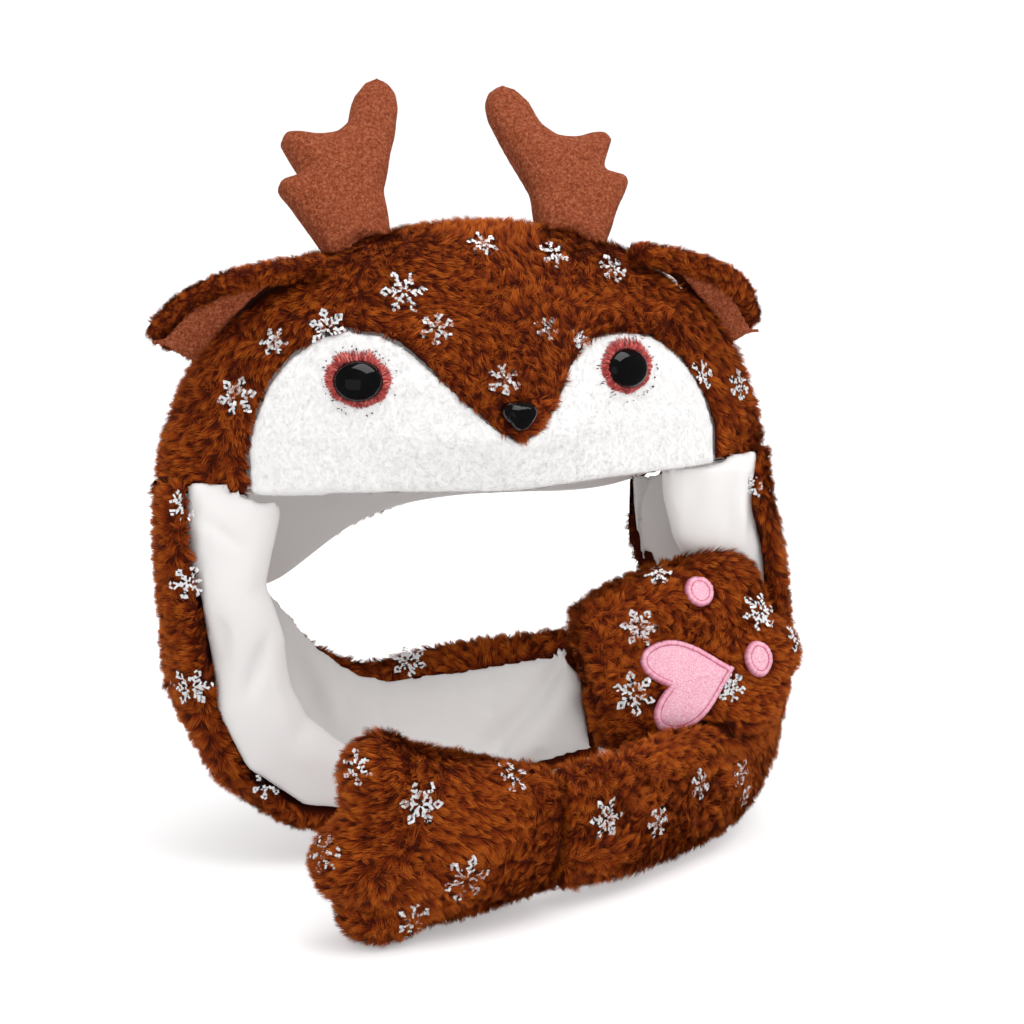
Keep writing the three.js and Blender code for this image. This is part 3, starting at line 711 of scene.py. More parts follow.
    def _join(self, skin: Body, pile_mesh: Mesh, soft: np.ndarray, cloth: Cloth) -> None:
        """Joins the fibres to their backing, with normals that shade each tuft as one soft lump.

        Args:
            skin: The backing.
            pile_mesh: The fibres.
            soft: The fibres' normals.
            cloth: The finish of both.
        """
        backing = normals_of(skin.data)
        # The backing takes the roots' colour: painted shade under the pile.
        root = np.tile([0.0, 0.35, 0.0, 1.0], len(skin.data.vertices))
        skin.data.attributes.new(PILE, "FLOAT_COLOR", "POINT").data.foreach_set("color", root)
        skin.data.materials.clear()
        skin.data.materials.append(cloth.material())
        pile_mesh.materials.append(cloth.material())
        fibres = add_object(f"{skin.name}_fibres", pile_mesh)
        bpy.ops.object.select_all(action="DESELECT")
        fibres.select_set(True)
        skin.select_set(True)
        bpy.context.view_layer.objects.active = skin
        bpy.ops.object.join()
        skin.data.shade_smooth()
        skin.data.normals_split_custom_set_from_vertices(np.concatenate([backing, soft]))


def neighbours(*nodes: str) -> BVHTree:
    """A search tree over all the CAD solids but these nodes."""
    return tree_of(obj for name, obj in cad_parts.items() if name not in nodes)


def crease(skin: Body, ends: tuple[Vector, Vector], wide_mm: float, deep_mm: float) -> None:
    """Presses a soft fold into a skin, or raises one where its depth is negative.

    Args:
        skin: The skin.
        ends: The fold's two ends, on or near the skin.
        wide_mm: Half the fold's width.
        deep_mm: How deep it goes in its middle.
    """
    points, normals = points_of(skin.data), normals_of(skin.data)
    start, end = (np.array(e) for e in ends)
    line = end - start
    share = np.clip((points - start) @ line / (line @ line), 0, 1)
    distance = np.linalg.norm(points - (start + share[:, None] * line), axis=1)
    fading = 0.35 + 0.65 * np.sin(math.pi * share)
    depth = deep_mm * MM * np.exp(-((distance / (wide_mm * MM)) ** 2)) * fading
    move_points(skin.data, points - normals * depth[:, None])


def ruffle(skin: Body, reach_mm: float, high_mm: float, seed: int) -> None:
    """Gives a soft skin low uneven swells.

    Args:
        skin: The skin.
        reach_mm: How far a swell runs.
        high_mm: How high it rises.
        seed: The seed of the swells.
    """
    points = points_of(skin.data)
    high = swirl(points, reach_mm * MM, seed)[:, 0] * high_mm * MM
    move_points(skin.data, points + normals_of(skin.data) * high[:, None])


def x_sign(side: str) -> float:
    """The sign of X on a side of the hood, as seen from the front."""
    return -1.0 if side == "left" else 1.0


BROWN_PILE = Pile(
    length=5.4, width=0.38, per_mm2=3.0, tuft=2.6, lean_deg=60, gather=0.34, swirl_mm=13, seed=11
)


@dataclass
class Crown:
    """The hat itself: a brown plush shell cut out round a white plush face, over a velour lining."""

    wall_mm: float = 6.0
    lining_gap_mm: float = 0.3
    lining_mm: float = 3.0
    voxel_mm: float = 3.0
    patch_voxel_mm: float = 2.2
    patch_fuller_mm: float = 1.0
    top: float = 288.0
    waist: float = 150.0
    half_width: float = 150.0
    front: float = 50.0
    back: float = 84.0
    snout: tuple[float, float, float, float] = (22.0, 200.0, 27.0, 24.0)
    hem: tuple[float, float, float] = (174.0, 172.0, 144.0)
    hem_corner: tuple[float, float, float] = (133.0, 24.0, 40.0)

    def build(self) -> None:
        """Builds the shell, the face patch and the lining."""
        covers = neighbours("hood_fur")
        shell = soft_copy("crown_plush", ["hood_fur"], self.voxel_mm, 2)
        ease(shell, covers, open_mm=0.8, covered_mm=0.6)
        ruffle(shell, reach_mm=22, high_mm=0.7, seed=3)
        replace(BROWN_PILE, per_mm2=2.05, width=0.4).grow(shell, covers, Cloth.BROWN_PLUSH, self._above_hem)
        dress(shell, Cloth.BROWN_PLUSH)
        covers = neighbours("face_patch", "eye_ring_left", "eye_ring_right", "hood_fur")
        patch = soft_copy("face_patch_plush", ["face_patch"], self.patch_voxel_mm, 2, self.patch_fuller_mm)
        ease(patch, covers, open_mm=0.2 - self.patch_fuller_mm / 2, covered_mm=1.6)
        pile = Pile(
            length=1.7, width=0.14, per_mm2=2.2, tuft=3.0, lean_deg=70, gather=0.0, swirl_mm=40, seed=23,
            comb=(0.0, 0.0, -0.9), bulge=0.0, nap=0.03,
        )
        pile.grow(patch, covers, Cloth.WHITE_PLUSH)
        dress(patch, Cloth.WHITE_PLUSH)
        self._build_lining()

    def _above_hem(self, points: np.ndarray) -> np.ndarray:
        """Lifts the points that hang below the crown's hem at the back."""
        angles = np.arctan2(points[:, 1], points[:, 0])
        low = np.array([self._hem_height(a) for a in angles])
        hem = (low + 1.0 - SEAT_HEIGHT) * MM
        points[:, 2] = np.where(points[:, 1] > 0.02, np.maximum(points[:, 2], hem), points[:, 2])
        return points

    def _surface(self, angle: float, z: float, depth: float) -> Vector:
        """A point of the crown at an angle round Z and a height, moved inwards by a depth."""
        level = min(1.0, max(0.0, (z - self.waist) / (self.top - self.waist - depth)))
        shrink = (1 - level**2.2) ** (1 / 2.2) if level < 1 else 0.0
        c, s = math.cos(angle), math.sin(angle)
        ahead = min(1.0, max(0.0, -s / 0.5))
        power = 2 / (2 - 0.4 * (3 * ahead**2 - 2 * ahead**3))
        x = (self.half_width - depth) * shrink * math.copysign(abs(c) ** power, c)
        y = ((self.front if s < 0 else self.back) - depth) * shrink * math.copysign(abs(s) ** power, s)
        if s < 0:
            high, middle, spread_x, spread_z = self.snout
            near = min(1.0, -s / 0.3)
            bump = math.exp(-((x / spread_x) ** 2 + ((z - middle) / spread_z) ** 2) / 2)
            y -= high * bump * shrink * (3 * near**2 - 2 * near**3)
        return place(x, y, z)

    def _hem_height(self, angle: float) -> float:
        """The height of the crown's hem at an angle round Z."""
        front, side, back = self.hem
        s = math.sin(angle)
        share = min(1.0, max(0.0, (abs(s) - 0.3) / 0.6))
        share = 3 * share**2 - 2 * share**3
        corner, spread, drop = self.hem_corner
        off = (math.degrees(angle) % 360 - corner) / spread
        return side + ((front if s < 0 else back) - side) * share - drop * math.exp(-(off**2))

    def _build_lining(self) -> None:
        """Builds the lining: one bowl of velour, eased into soft gathers along its hem."""
        around, rows = 132, 26
        depth = self.wall_mm + self.lining_gap_mm
        points: list[Vector] = []
        for r in range(rows):
            rise = math.sin(r / rows * math.pi / 2)
            for i in range(around):
                angle = i / around * 2 * math.pi
                low = self._hem_height(angle)
                gather = 0.5 * (1 - rise) ** 2 * (1 + math.sin(angle * 23) * math.sin(angle * 7 + 1))
                points.append(self._surface(angle, low + (self.top - depth - low) * rise, depth + gather))
        points.append(place(0, 0, self.top - depth))
        grid = np.arange(rows * around).reshape(rows, around)
        following = np.roll(grid, -1, axis=1)
        quads = np.stack([grid[:-1], following[:-1], following[1:], grid[1:]], axis=-1).reshape(-1, 4)
        pole = len(points) - 1
        fan = np.stack([grid[-1], following[-1], np.full(around, pole)], axis=-1)
        name = "hood_lining_velour"
        lining = add_object(name, mesh_of(name, np.array(points), [quads, fan]))
        apply_modifier(lining, "SOLIDIFY", thickness=self.lining_mm * MM, offset=-1.0)
        apply_modifier(lining, "SUBSURF", levels=1, render_levels=1)
        lining.data.shade_smooth()
        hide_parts("hood_lining")
        dress(lining, Cloth.WHITE_VELOUR)


@dataclass
class Eyes:
    """Two low black domes on frayed coral embroidery."""

    across: float = 63.6
    height: float = 222.0
    half_wide: float = 11.2
    half_high: float = 9.3
    dome: float = 5.6
    ring_mm: float = 3.6
    threads: int = 250
    specks: int = 30

    def build(self) -> None:
        """Builds both eyes."""
        patch = tree_of([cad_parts["face_patch"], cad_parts["hood_fur"]])
        for side in SIDES:
            x = x_sign(side) * self.across
            spot, normal = self._on_face(patch, x, self.height)
            self._build_dome(side, spot, normal)
            self._build_ring(side, patch, x)

    def _on_face(self, patch: BVHTree, x: float, z: float) -> tuple[Vector, Vector]:
        """The place and the normal of the face at an X and a height."""
        start = place(x, -200, z)
        spot, normal, _, _ = patch.ray_cast(start, Vector((0, 1, 0)))
        return spot, normal

    def _build_dome(self, side: str, spot: Vector, normal: Vector) -> None:
        """Turns one dome with a thin flange round it."""
        profile = [(0, 1.0), (0.3, 0.96), (0.55, 0.85), (0.76, 0.66), (0.9, 0.42), (0.97, 0.22), (1.0, 0.12)]
        profile += [(1.0, 0.0), (0.94, -0.12), (0.0, -0.14)]
        dome = turned(f"eye_dome_{side}", profile, 64)
        turn = normal.to_track_quat("Z", "Y").to_matrix().to_4x4()
        size = Matrix.Diagonal((self.half_wide * MM, self.half_high * MM, self.dome * MM, 1))
        dome.data.transform(Matrix.Translation(spot + normal * 1.4 * MM) @ turn @ size)
        dome.data.shade_smooth()
        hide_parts(f"eye_{side}")
        dress(dome, Cloth.BLACK_GLOSS)

    def _build_ring(self, side: str, patch: BVHTree, x: float) -> None:
        """Stitches one ring of threads that stick out unevenly, with a few loose glitter flecks."""
        rng = np.random.default_rng(5 if side == "left" else 6)
        points: list[Vector] = []
        tones: list[float] = []
        for k in range(2 * self.threads + self.specks):
            layer, angle = k // self.threads, (k + rng.uniform(-0.4, 0.4)) / self.threads * 2 * math.pi
            reach = self.ring_mm * (1 + 0.45 * math.sin(angle))
            if layer < 2:
                start = rng.uniform(-1.2, 0.3)
                end = reach * (rng.uniform(0.5, 1.0) - 0.2 * layer) + 0.4 * math.sin(angle * 7) + 0.5
                tone = float(np.clip(rng.normal(0.52, 0.22), 0.22, 1))
            else:
                angle = rng.uniform(0, 2 * math.pi)
                start = reach * rng.uniform(0.8, 1.3)
                end = start + rng.uniform(0.5, 1.2)
                tone = rng.uniform(0, 0.1)
            slant = rng.normal(0, 0.07)
            high = 1.1 + 0.7 * min(layer, 1) + rng.uniform(0, 0.5)
            half = rng.uniform(0.2, 0.34)
            stages = ((start, 0, 0.9, 1), ((start + end) / 2, 0.5, 1.25, 1), (end, 1, 0.3, 0.3))
            for out, bend, lift, wide in stages:
                turn = angle + slant * bend
                for sign in (-1, 1):
                    aside = sign * half * wide
                    px = x + (self.half_wide + out) * math.cos(turn) - aside * math.sin(turn)
                    pz = self.height + (self.half_high + out) * math.sin(turn) + aside * math.cos(turn)
                    spot, normal = self._on_face(patch, px, pz)
                    points.append(spot + normal * high * lift * MM)
                    tones.append(tone)
        count = len(points) // 6
        base = np.arange(count)[:, None] * 6
        quads = np.concatenate([base + [0, 1, 3, 2], base + [2, 3, 5, 4]])
        ring = add_object(f"eye_ring_thread_{side}", mesh_of("ring", np.array(points), [quads]))
        tone_colours(ring.data, np.array(tones))
        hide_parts(f"eye_ring_{side}")
        dress(ring, Cloth.CORAL_THREAD)


@dataclass
class Nose:
    """A moulded nose: a rounded triangle, widest at the top, with a bevelled rim."""

    height: float = 208.5
    front_y: float = -67.0
    x: float = 1.5
    half_wide: float = 7.6
    half_high: float = 7.2
    deep: float = 7.5

    def build(self) -> None:
        """Builds the nose from a ball that is widened above and flattened in front."""
        bpy.ops.object.select_all(action="DESELECT")
        bpy.ops.mesh.primitive_uv_sphere_add(
            segments=56, ring_count=32, radius=1.0, rotation=(math.pi / 2, 0, 0)
        )
        nose = bpy.context.object
        nose.name = "nose_moulding"
        bpy.ops.object.transform_apply(location=True, rotation=True, scale=True)
        points = points_of(nose.data)
        x, y, z = points.T
        squared = np.sign(x) * np.abs(x) ** 0.85
        wider = 1 + 0.42 * z - 0.12 * z**2
        top = np.where(z > 0, z * 0.86, z)
        front = np.sign(y) * np.abs(y) ** 0.7
        step = np.where(np.hypot(x, z) > 0.78, 0.06, 0.0)
        shaped = np.stack(
            [squared * wider * self.half_wide, (front + step) * self.deep, top * self.half_high], axis=1
        )
        shaped += np.array([self.x, self.front_y, self.height - SEAT_HEIGHT])
        move_points(nose.data, shaped * MM)
        nose.data.shade_smooth()
        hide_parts("nose")
        dress(nose, Cloth.HAMMERED_GLOSS)


def turned(name: str, profile: Sequence[tuple[float, float]], steps: int) -> Body:
    """Spins a profile round Z into a closed body.

    Args:
        name: The new object's name.
        profile: Radius and height of each point, from the axis back to the axis.
        steps: How many faces go round.

    Returns:
        The new object, at the origin.
    """
    mesh = bpy.data.meshes.new(name)
    edges = [(i, i + 1) for i in range(len(profile) - 1)]
    mesh.from_pydata([(r, 0, h) for r, h in profile], edges, [])
    obj = add_object(name, mesh)
    select_only(obj)
    bpy.ops.object.mode_set(mode="EDIT")
    bpy.ops.mesh.select_all(action="SELECT")
    bpy.ops.mesh.spin(steps=steps, angle=2 * math.pi, center=(0, 0, 0), axis=(0, 0, 1))
    bpy.ops.mesh.select_all(action="SELECT")
    bpy.ops.mesh.remove_doubles(threshold=1e-4)
    bpy.ops.mesh.normals_make_consistent(inside=False)
    bpy.ops.object.mode_set(mode="OBJECT")
    return obj


def tone_colours(mesh: Mesh, tones: np.ndarray) -> None:
    """Writes one tone per vertex where the thread, foil and pile finishes read it."""
    colours = np.stack([np.ones_like(tones), tones, np.zeros_like(tones), np.ones_like(tones)], axis=1)
    mesh.attributes.new(PILE, "FLOAT_COLOR", "POINT").data.foreach_set("color", colours.ravel())


@dataclass
class Antlers:
    """Two stuffed antlers of rust velvet, each of two panels sewn along the outline and turned."""

    foot: float = 277.0
    y: float = 5.0
    upright: dict[str, float] = field(default_factory=lambda: {"left": 0.99, "right": 0.935})
    root_mm: float = 16.0
    sunk_mm: float = 4.0
    lean_deg: float = 33.0
    voxel_mm: float = 1.6
    seam_mm: float = 1.1
    seam_deep_mm: float = 0.9

    def build(self) -> None:
        """Builds both antlers, whose feet are sewn down between the fibres."""
        tilt = math.radians(90 - self.lean_deg)
        facing = np.array([0.0, -math.sin(tilt), math.cos(tilt)])
        foot = np.array(place(0, self.y, self.foot))
        for side in SIDES:
            antler = soft_copy(f"antler_{side}_velvet", [f"antler_{side}"], self.voxel_mm, 6)
            points = points_of(antler.data)
            up = (points[:, 2] - foot[2]) * self.upright[side]
            sunk = np.clip(1 - up / (self.root_mm * MM), 0, 1) * self.sunk_mm * MM
            points[:, 2] = foot[2] + up - sunk
            move_points(antler.data, points)
            swell(antler, start_mm=1.0, most_mm=5.0, pressure=7.0)
            ruffle(antler, reach_mm=9, high_mm=0.35, seed=17)
            points, normals = points_of(antler.data), normals_of(antler.data)
            off = (points - foot) @ facing / MM
            rim = 1 - np.clip(np.abs(normals @ facing) * 1.6, 0, 1)
            groove = np.exp(-((off / self.seam_mm) ** 2)) * rim
            move_points(antler.data, points - normals * (groove * self.seam_deep_mm * MM)[:, None])
            antler.data.shade_smooth()
            dress(antler, Cloth.RUST_VELVET)


@dataclass
class Ears:
    """Two leaf-shaped ears: brown plush behind and along the edge, rust velvet in front."""

    voxel_mm: float = 2.0
    lining_voxel_mm: float = 1.2
    lining_wider: float = 1.02
    lining_taller: float = 1.3
    lining_anchor: float = 0.35
    lining_proud_mm: float = 3.6

    def build(self) -> None:
        """Builds both ears."""
        for side in SIDES:
            covers = neighbours(f"ear_{side}")
            ear = soft_copy(f"ear_{side}_plush", [f"ear_{side}"], self.voxel_mm, 2)
            ease(ear, covers, open_mm=1.2, covered_mm=0.6)
            pile = replace(BROWN_PILE, length=3.4, seed=31, comb=(0.5 * x_sign(side), 0.0, -0.3))
            pile.grow(ear, covers, Cloth.BROWN_PLUSH)
            dress(ear, Cloth.BROWN_PLUSH)
            lining = soft_copy(f"ear_lining_{side}_velvet", [f"ear_lining_{side}"], self.lining_voxel_mm, 4)
            ruffle(lining, reach_mm=7, high_mm=0.25, seed=19)
            self._spread(lining)
            lining.data.shade_smooth()
            dress(lining, Cloth.RUST_VELVET)

    def _spread(self, lining: Body) -> None:
        """Lays a lining over the ear's edge: it spreads from its inner end and stands proud."""
        points = points_of(lining.data)
        low, high = points.min(axis=0), points.max(axis=0)
        inner = high[0] if abs(high[0]) < abs(low[0]) else low[0]
        corner = np.array([inner, points[:, 1].mean(), low[2] + (high[2] - low[2]) * self.lining_anchor])
        spread = np.array([self.lining_wider, 1.0, self.lining_taller])
        points = corner + (points - corner) * spread
        points[:, 1] -= self.lining_proud_mm * MM
        move_points(lining.data, points)


@dataclass
class SideFlap:
    """One side of the hood: a plush flap that runs into a scarf arm, with its padded velour lining."""

    side: str
    folds: Sequence[tuple[Vector, Vector, float, float]]
    voxel_mm: float = 3.2
    lining_voxel_mm: float = 2.2
    fuller_mm: float = 0.9
    stand_mm: float = 0.5

    def build(self) -> None:
        """Builds the plush outside and the lining, whose rolled edge and arm are one cloth."""
        fur_node, lining_nodes = f"flap_{self.side}_fur", [f"facing_{self.side}", f"flap_{self.side}_lining"]
        covers = neighbours(fur_node)
        fur = soft_copy(f"flap_{self.side}_plush", [fur_node], self.voxel_mm, 2)
        ease(fur, covers, open_mm=self.stand_mm, covered_mm=1.4)
        ruffle(fur, reach_mm=20, high_mm=0.8, seed=41)
        BROWN_PILE.grow(fur, covers, Cloth.BROWN_PLUSH)
        dress(fur, Cloth.BROWN_PLUSH)
        lining = soft_copy(f"flap_{self.side}_velour", lining_nodes, self.lining_voxel_mm, 6, self.fuller_mm)
        swell(lining, start_mm=self.fuller_mm, most_mm=2.4)
        ruffle(lining, reach_mm=16, high_mm=0.7, seed=43)
        for start, end, wide, deep in self.folds:
            crease(lining, (start, end), wide, deep)
        lining.data.shade_smooth()
        dress(lining, Cloth.WHITE_VELOUR)


@dataclass
class Paw:
    """A pocket mitten: plush round a hollow for a hand, with a heart and three toe pads of felt."""

    side: str
    cuff: Vector
    along: Vector
    palm: Vector
    heart_at: tuple[float, float]
    heart_size: float
    heart_turn_deg: float
    toes: Sequence[tuple[float, float, float, float]]
    creases: tuple[float, float]
    reach: float
    voxel_mm: float = 3.0
    pad_mm: float = 3.0
    stitch_mm: float = 0.62
    heart_length: float = 1.12

    def build(self) -> None:
        """Builds the mitten and its pads."""
        self.forwards = self.along.normalized()
        self.out = (self.palm - self.forwards * self.palm.dot(self.forwards)).normalized()
        self.sideways = self.out.cross(self.forwards)
        node = f"paw_{self.side}"
        self.surface = tree_of([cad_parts[node]])
        mitten = soft_copy(f"{node}_plush", [node], self.voxel_mm, 3)
        plug = self._pocket_plug()
        covers = tree_of([*(obj for name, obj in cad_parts.items() if name != node), plug])
        ease(mitten, covers, open_mm=0.5, covered_mm=0.9)
        for across in self.creases:
            for level in (-1, 1):
                start = self._at(self.reach - 30, across, 17 * level)
                end = self._at(self.reach, across * 1.1, 8 * level)
                crease(mitten, (start, end), wide_mm=4.0, deep_mm=3.6)
        ruffle(mitten, reach_mm=18, high_mm=0.8, seed=47)
        ways = self.forwards * 0.55
        pile = replace(BROWN_PILE, comb=(ways.x, ways.y, ways.z - 0.3))
        pile.grow(mitten, covers, Cloth.BROWN_PLUSH)
        bpy.data.objects.remove(plug)
        dress(mitten, Cloth.BROWN_PLUSH)
        self._build_pad(f"heart_pad_{self.side}", self._heart())
        for k, (along, across, half_along, half_across) in enumerate(self.toes):
            turn = np.linspace(0, 2 * math.pi, 60, endpoint=False)
            oval = [along + half_along * np.cos(turn), across + half_across * np.sin(turn)]
            self._build_pad(f"toe_pad_{self.side}_{k + 1}", np.stack(oval, axis=1))

    def _pocket_plug(self) -> Body:
        """A block as large as the pocket, so that no pile grows in there."""
        corners = [self._at(a, c, h) for a in (-4, 70) for c in (-20, 20) for h in (-2, 10)]
        sides = np.array([[0, 1, 3, 2], [4, 6, 7, 5], [0, 4, 5, 1], [2, 3, 7, 6], [0, 2, 6, 4], [1, 5, 7, 3]])
        return add_object("pocket_plug", mesh_of("pocket_plug", np.array(corners), [sides]))

    def _at(self, along: float, across: float, out: float) -> Vector:
        """A place in the paw's own directions, in millimetres from its cuff."""
        return self.cuff + (self.forwards * along + self.sideways * across + self.out * out) * MM

    def _heart(self) -> np.ndarray:
        """The heart's outline, its tip towards the toes."""
        t = np.linspace(0, 2 * math.pi, 120, endpoint=False)
        wide = self.heart_size * np.sin(t) * np.abs(np.sin(t))
        waves = sum(wave * np.cos((k + 1) * t) for k, wave in enumerate((0.81, -0.31, -0.125, -0.0625)))
        tall = self.heart_length * self.heart_size * waves
        turn = math.radians(self.heart_turn_deg)
        along = -tall * math.cos(turn) - wide * math.sin(turn)
        across = -tall * math.sin(turn) + wide * math.cos(turn)
        return np.stack([along + self.heart_at[0], across + self.heart_at[1]], axis=1)

    def _high(self, along: float, across: float) -> float:
        """How far the palm's surface stands out over the paw's middle, in millimetres."""
        start = self._at(along, across, 60)
        hit = self.surface.ray_cast(start, -self.out)[0]
        return 0.0 if hit is None else (hit - self.cuff).dot(self.out) / MM

    def _build_pad(self, node: str, outline: np.ndarray) -> None:
        """Cuts one felt pad to an outline, domes it, and stitches its edge with satin stitch.

        Args:
            node: The CAD node that the pad stands for.
            outline: The pad's outline, along and across the palm.
        """
        middle = outline.mean(axis=0)
        levels = ((0.0, 1.0), (0.3, 1.0), (0.6, 1.0), (0.8, 0.98), (0.92, 0.95), (0.98, 0.85))
        levels += ((1.0, 0.6), (1.0, 0.05))
        points: list[Vector] = [self._at(*middle, self._high(*middle) + self.pad_mm)]
        count = len(outline)
        for share, level in levels[1:]:
            for spot in middle + (outline - middle) * share:
                points.append(self._at(*spot, self._high(*spot) + 0.2 + self.pad_mm * level))
        points.append(self._at(*middle, self._high(*middle) + 0.2))
        rings = 1 + np.arange((len(levels) - 1) * count).reshape(-1, count)
        following = np.roll(rings, -1, axis=1)
        fan = np.stack([np.zeros(count, int), rings[0], following[0]], axis=-1)
        quads = np.stack([rings[:-1], rings[1:], following[1:], following[:-1]], axis=-1).reshape(-1, 4)
        under = np.stack([np.full(count, len(points) - 1), following[-1], rings[-1]], axis=-1)
        pad = add_object(f"{node}_felt", mesh_of(node, np.array(points), [fan, quads, under]))
        select_only(pad)
        bpy.ops.object.mode_set(mode="EDIT")
        bpy.ops.mesh.select_all(action="SELECT")
        bpy.ops.mesh.normals_make_consistent(inside=False)
        bpy.ops.object.mode_set(mode="OBJECT")
        pad.data.shade_smooth()
        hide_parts(node)
        dress(pad, Cloth.PINK_FELT)
        self._stitch(node, outline)

    def _stitch(self, node: str, outline: np.ndarray) -> None:
        """Lays satin stitches side by side over a pad's edge."""
        rng = np.random.default_rng(len(outline))
        closed = np.vstack([outline, outline[:1]])
        steps = np.linalg.norm(np.diff(closed, axis=0), axis=1)
        length = np.concatenate([[0], np.cumsum(steps)])
        stitches = int(length[-1] / self.stitch_mm)
        at = np.linspace(0, length[-1], stitches, endpoint=False)
        ahead = 0.8
        spots = np.stack([np.interp(at, length, closed[:, i]) for i in (0, 1)], axis=1)
        later = np.stack([np.interp((at + ahead) % length[-1], length, closed[:, i]) for i in (0, 1)], axis=1)
        tangent = unit(later - spots)
        inwards = np.stack([-tangent[:, 1], tangent[:, 0]], axis=1)
        middle = outline.mean(axis=0)
        turned_in = np.sign(np.sum(inwards * (middle - spots), axis=1, keepdims=True))
        if np.sum(turned_in) < 0:
            inwards = -inwards
        profile = ((-0.6, 0.4), (0.0, 2.9), (0.9, 3.6), (1.8, 3.4), (2.0, 3.3), (2.4, 3.3))
        # Each stitch is painted lighter over its crest and darker at both ends, where it meets the plush and
        # the felt: painted highlight and painted shade.
        painted_shading = np.array([-0.5, -0.1, 0.25, 0.1, -0.5, -0.45])
        points: list[Vector] = []
        for spot, way, side_way in zip(spots, inwards, tangent):
            jitter = rng.uniform(-0.12, 0.12)
            for reach, high in profile:
                for step, lift in ((-0.34, -0.2), (0.0, 0.12), (0.34, -0.2)):
                    p = spot + way * (reach + jitter) + side_way * step
                    points.append(self._at(*p, self._high(*p) + high + lift))
        base = np.arange(stitches)[:, None] * 3 * len(profile)
        rows = range(0, (len(profile) - 1) * 3, 3)
        quads = [base + [r + c, r + c + 3, r + c + 4, r + c + 1] for r in rows for c in range(2)]
        border = add_object(f"{node}_stitches", mesh_of(node, np.array(points), [np.concatenate(quads)]))
        # Each stitch's tone differs at random, plus the painted highlight and shade along it.
        tones = rng.normal(0.55, 0.12, (stitches, 1)) + np.repeat(painted_shading, 3)
        tone_colours(border.data, np.clip(tones, 0, 1).ravel())
        border.data.shade_smooth()
        dress(border, Cloth.PINK_THREAD)


@dataclass
class Studio:
    """The camera at the photograph's angle, a pale table, and large soft lights."""

    azimuth_deg: float = -18.0
    elevation_deg: float = 12.0
    distance: float = 1.150
    lens_mm: float = 85.0
    sensor_mm: float = 36.0
    frame_px: float = 1024.0
    surroundings: float = 0.88
    mirrored: float = 0.1
    backdrop: float = 1.05
    table_glow: float = 0.3
    target: Vector = field(default_factory=lambda: place(20, 0, 150))

    def eye(self) -> Vector:
        """Where the camera stands."""
        a, e = math.radians(self.azimuth_deg), math.radians(self.elevation_deg)
        back = Vector((math.sin(a) * math.cos(e), -math.cos(a) * math.cos(e), math.sin(e)))
        return self.target + back * self.distance

    def ray(self, px: float, py: float) -> Vector:
        """The direction in which the camera sees a pixel."""
        ahead = (self.target - self.eye()).normalized()
        right = ahead.cross(UP).normalized()
        above = right.cross(ahead)
        focal = self.lens_mm / self.sensor_mm * self.frame_px
        half = self.frame_px / 2
        return (ahead + right * ((px - half) / focal) - above * ((py - half) / focal)).normalized()

    def build(self) -> None:
        """Builds the camera, the table, the lights and the white surroundings."""
        camera = bpy.data.objects.new("camera", bpy.data.cameras.new("camera"))
        camera.data.lens = self.lens_mm
        camera.data.sensor_width = self.sensor_mm
        camera.location = self.eye()
        camera.rotation_mode = "QUATERNION"
        camera.rotation_quaternion = (self.target - self.eye()).to_track_quat("-Z", "Y")
        bpy.context.scene.collection.objects.link(camera)
        bpy.context.scene.camera = camera
        bpy.ops.object.select_all(action="DESELECT")
        bpy.ops.mesh.primitive_plane_add(size=400.0, location=(0, 0, TABLE_Z))
        table = bpy.context.object
        table.name = "table"
        material, tree, shader = new_material("white_table")
        seen = add_node(tree, "ShaderNodeLightPath").outputs["Is Camera Ray"]
        glow = add_node(tree, "ShaderNodeMath", {0: seen, 1: self.table_glow}, operation="MULTIPLY")
        tree.links.new(glow.outputs[0], shader.inputs["Emission Strength"])
        set_inputs(shader, Emission_Color=linear("#ffffff"), Base_Color=linear("#f4f4f4"), Roughness=0.8)
        table.data.materials.append(material)
        table.visible_glossy = False
        self._light("key", Vector((0.9, -1.2, 1.2)), size=1.3, power=5.5, mirrored=False)
        self._light("fill", Vector((-1.0, -1.4, 0.15)), size=1.2, power=1.0, mirrored=True)
        self._light("top", Vector((0.3, -0.35, 1.8)), size=1.6, power=18.0, mirrored=True)
        world = bpy.data.worlds.new("studio")
        world.use_nodes = True
        tree = world.node_tree
        path = add_node(tree, "ShaderNodeLightPath")
        mirrored = add_node(
            tree,
            "ShaderNodeMix",
            {0: path.outputs["Is Glossy Ray"], 2: self.surroundings, 3: self.mirrored},
            data_type="FLOAT",
        )
        strength = add_node(
            tree,
            "ShaderNodeMix",
            {0: path.outputs["Is Camera Ray"], 2: mirrored.outputs[0], 3: self.backdrop},
            data_type="FLOAT",
        )
        background = tree.nodes["Background"]
        background.inputs["Color"].default_value = linear("#ffffff")
        tree.links.new(strength.outputs[0], background.inputs["Strength"])
        bpy.context.scene.world = world
        bpy.context.scene.view_settings.view_transform = "Standard"

    def _light(self, name: str, at: Vector, size: float, power: float, mirrored: bool) -> None:
        """Hangs one square soft light that looks at the hood, and may show in its gloss."""
        lamp = bpy.data.lights.new(name, "AREA")
        lamp.size = size
        lamp.energy = power
        obj = bpy.data.objects.new(name, lamp)
        obj.location = at
        obj.visible_glossy = mirrored
        obj.rotation_mode = "QUATERNION"
        obj.rotation_quaternion = (self.target - at).to_track_quat("-Z", "Y")
        bpy.context.scene.collection.objects.link(obj)


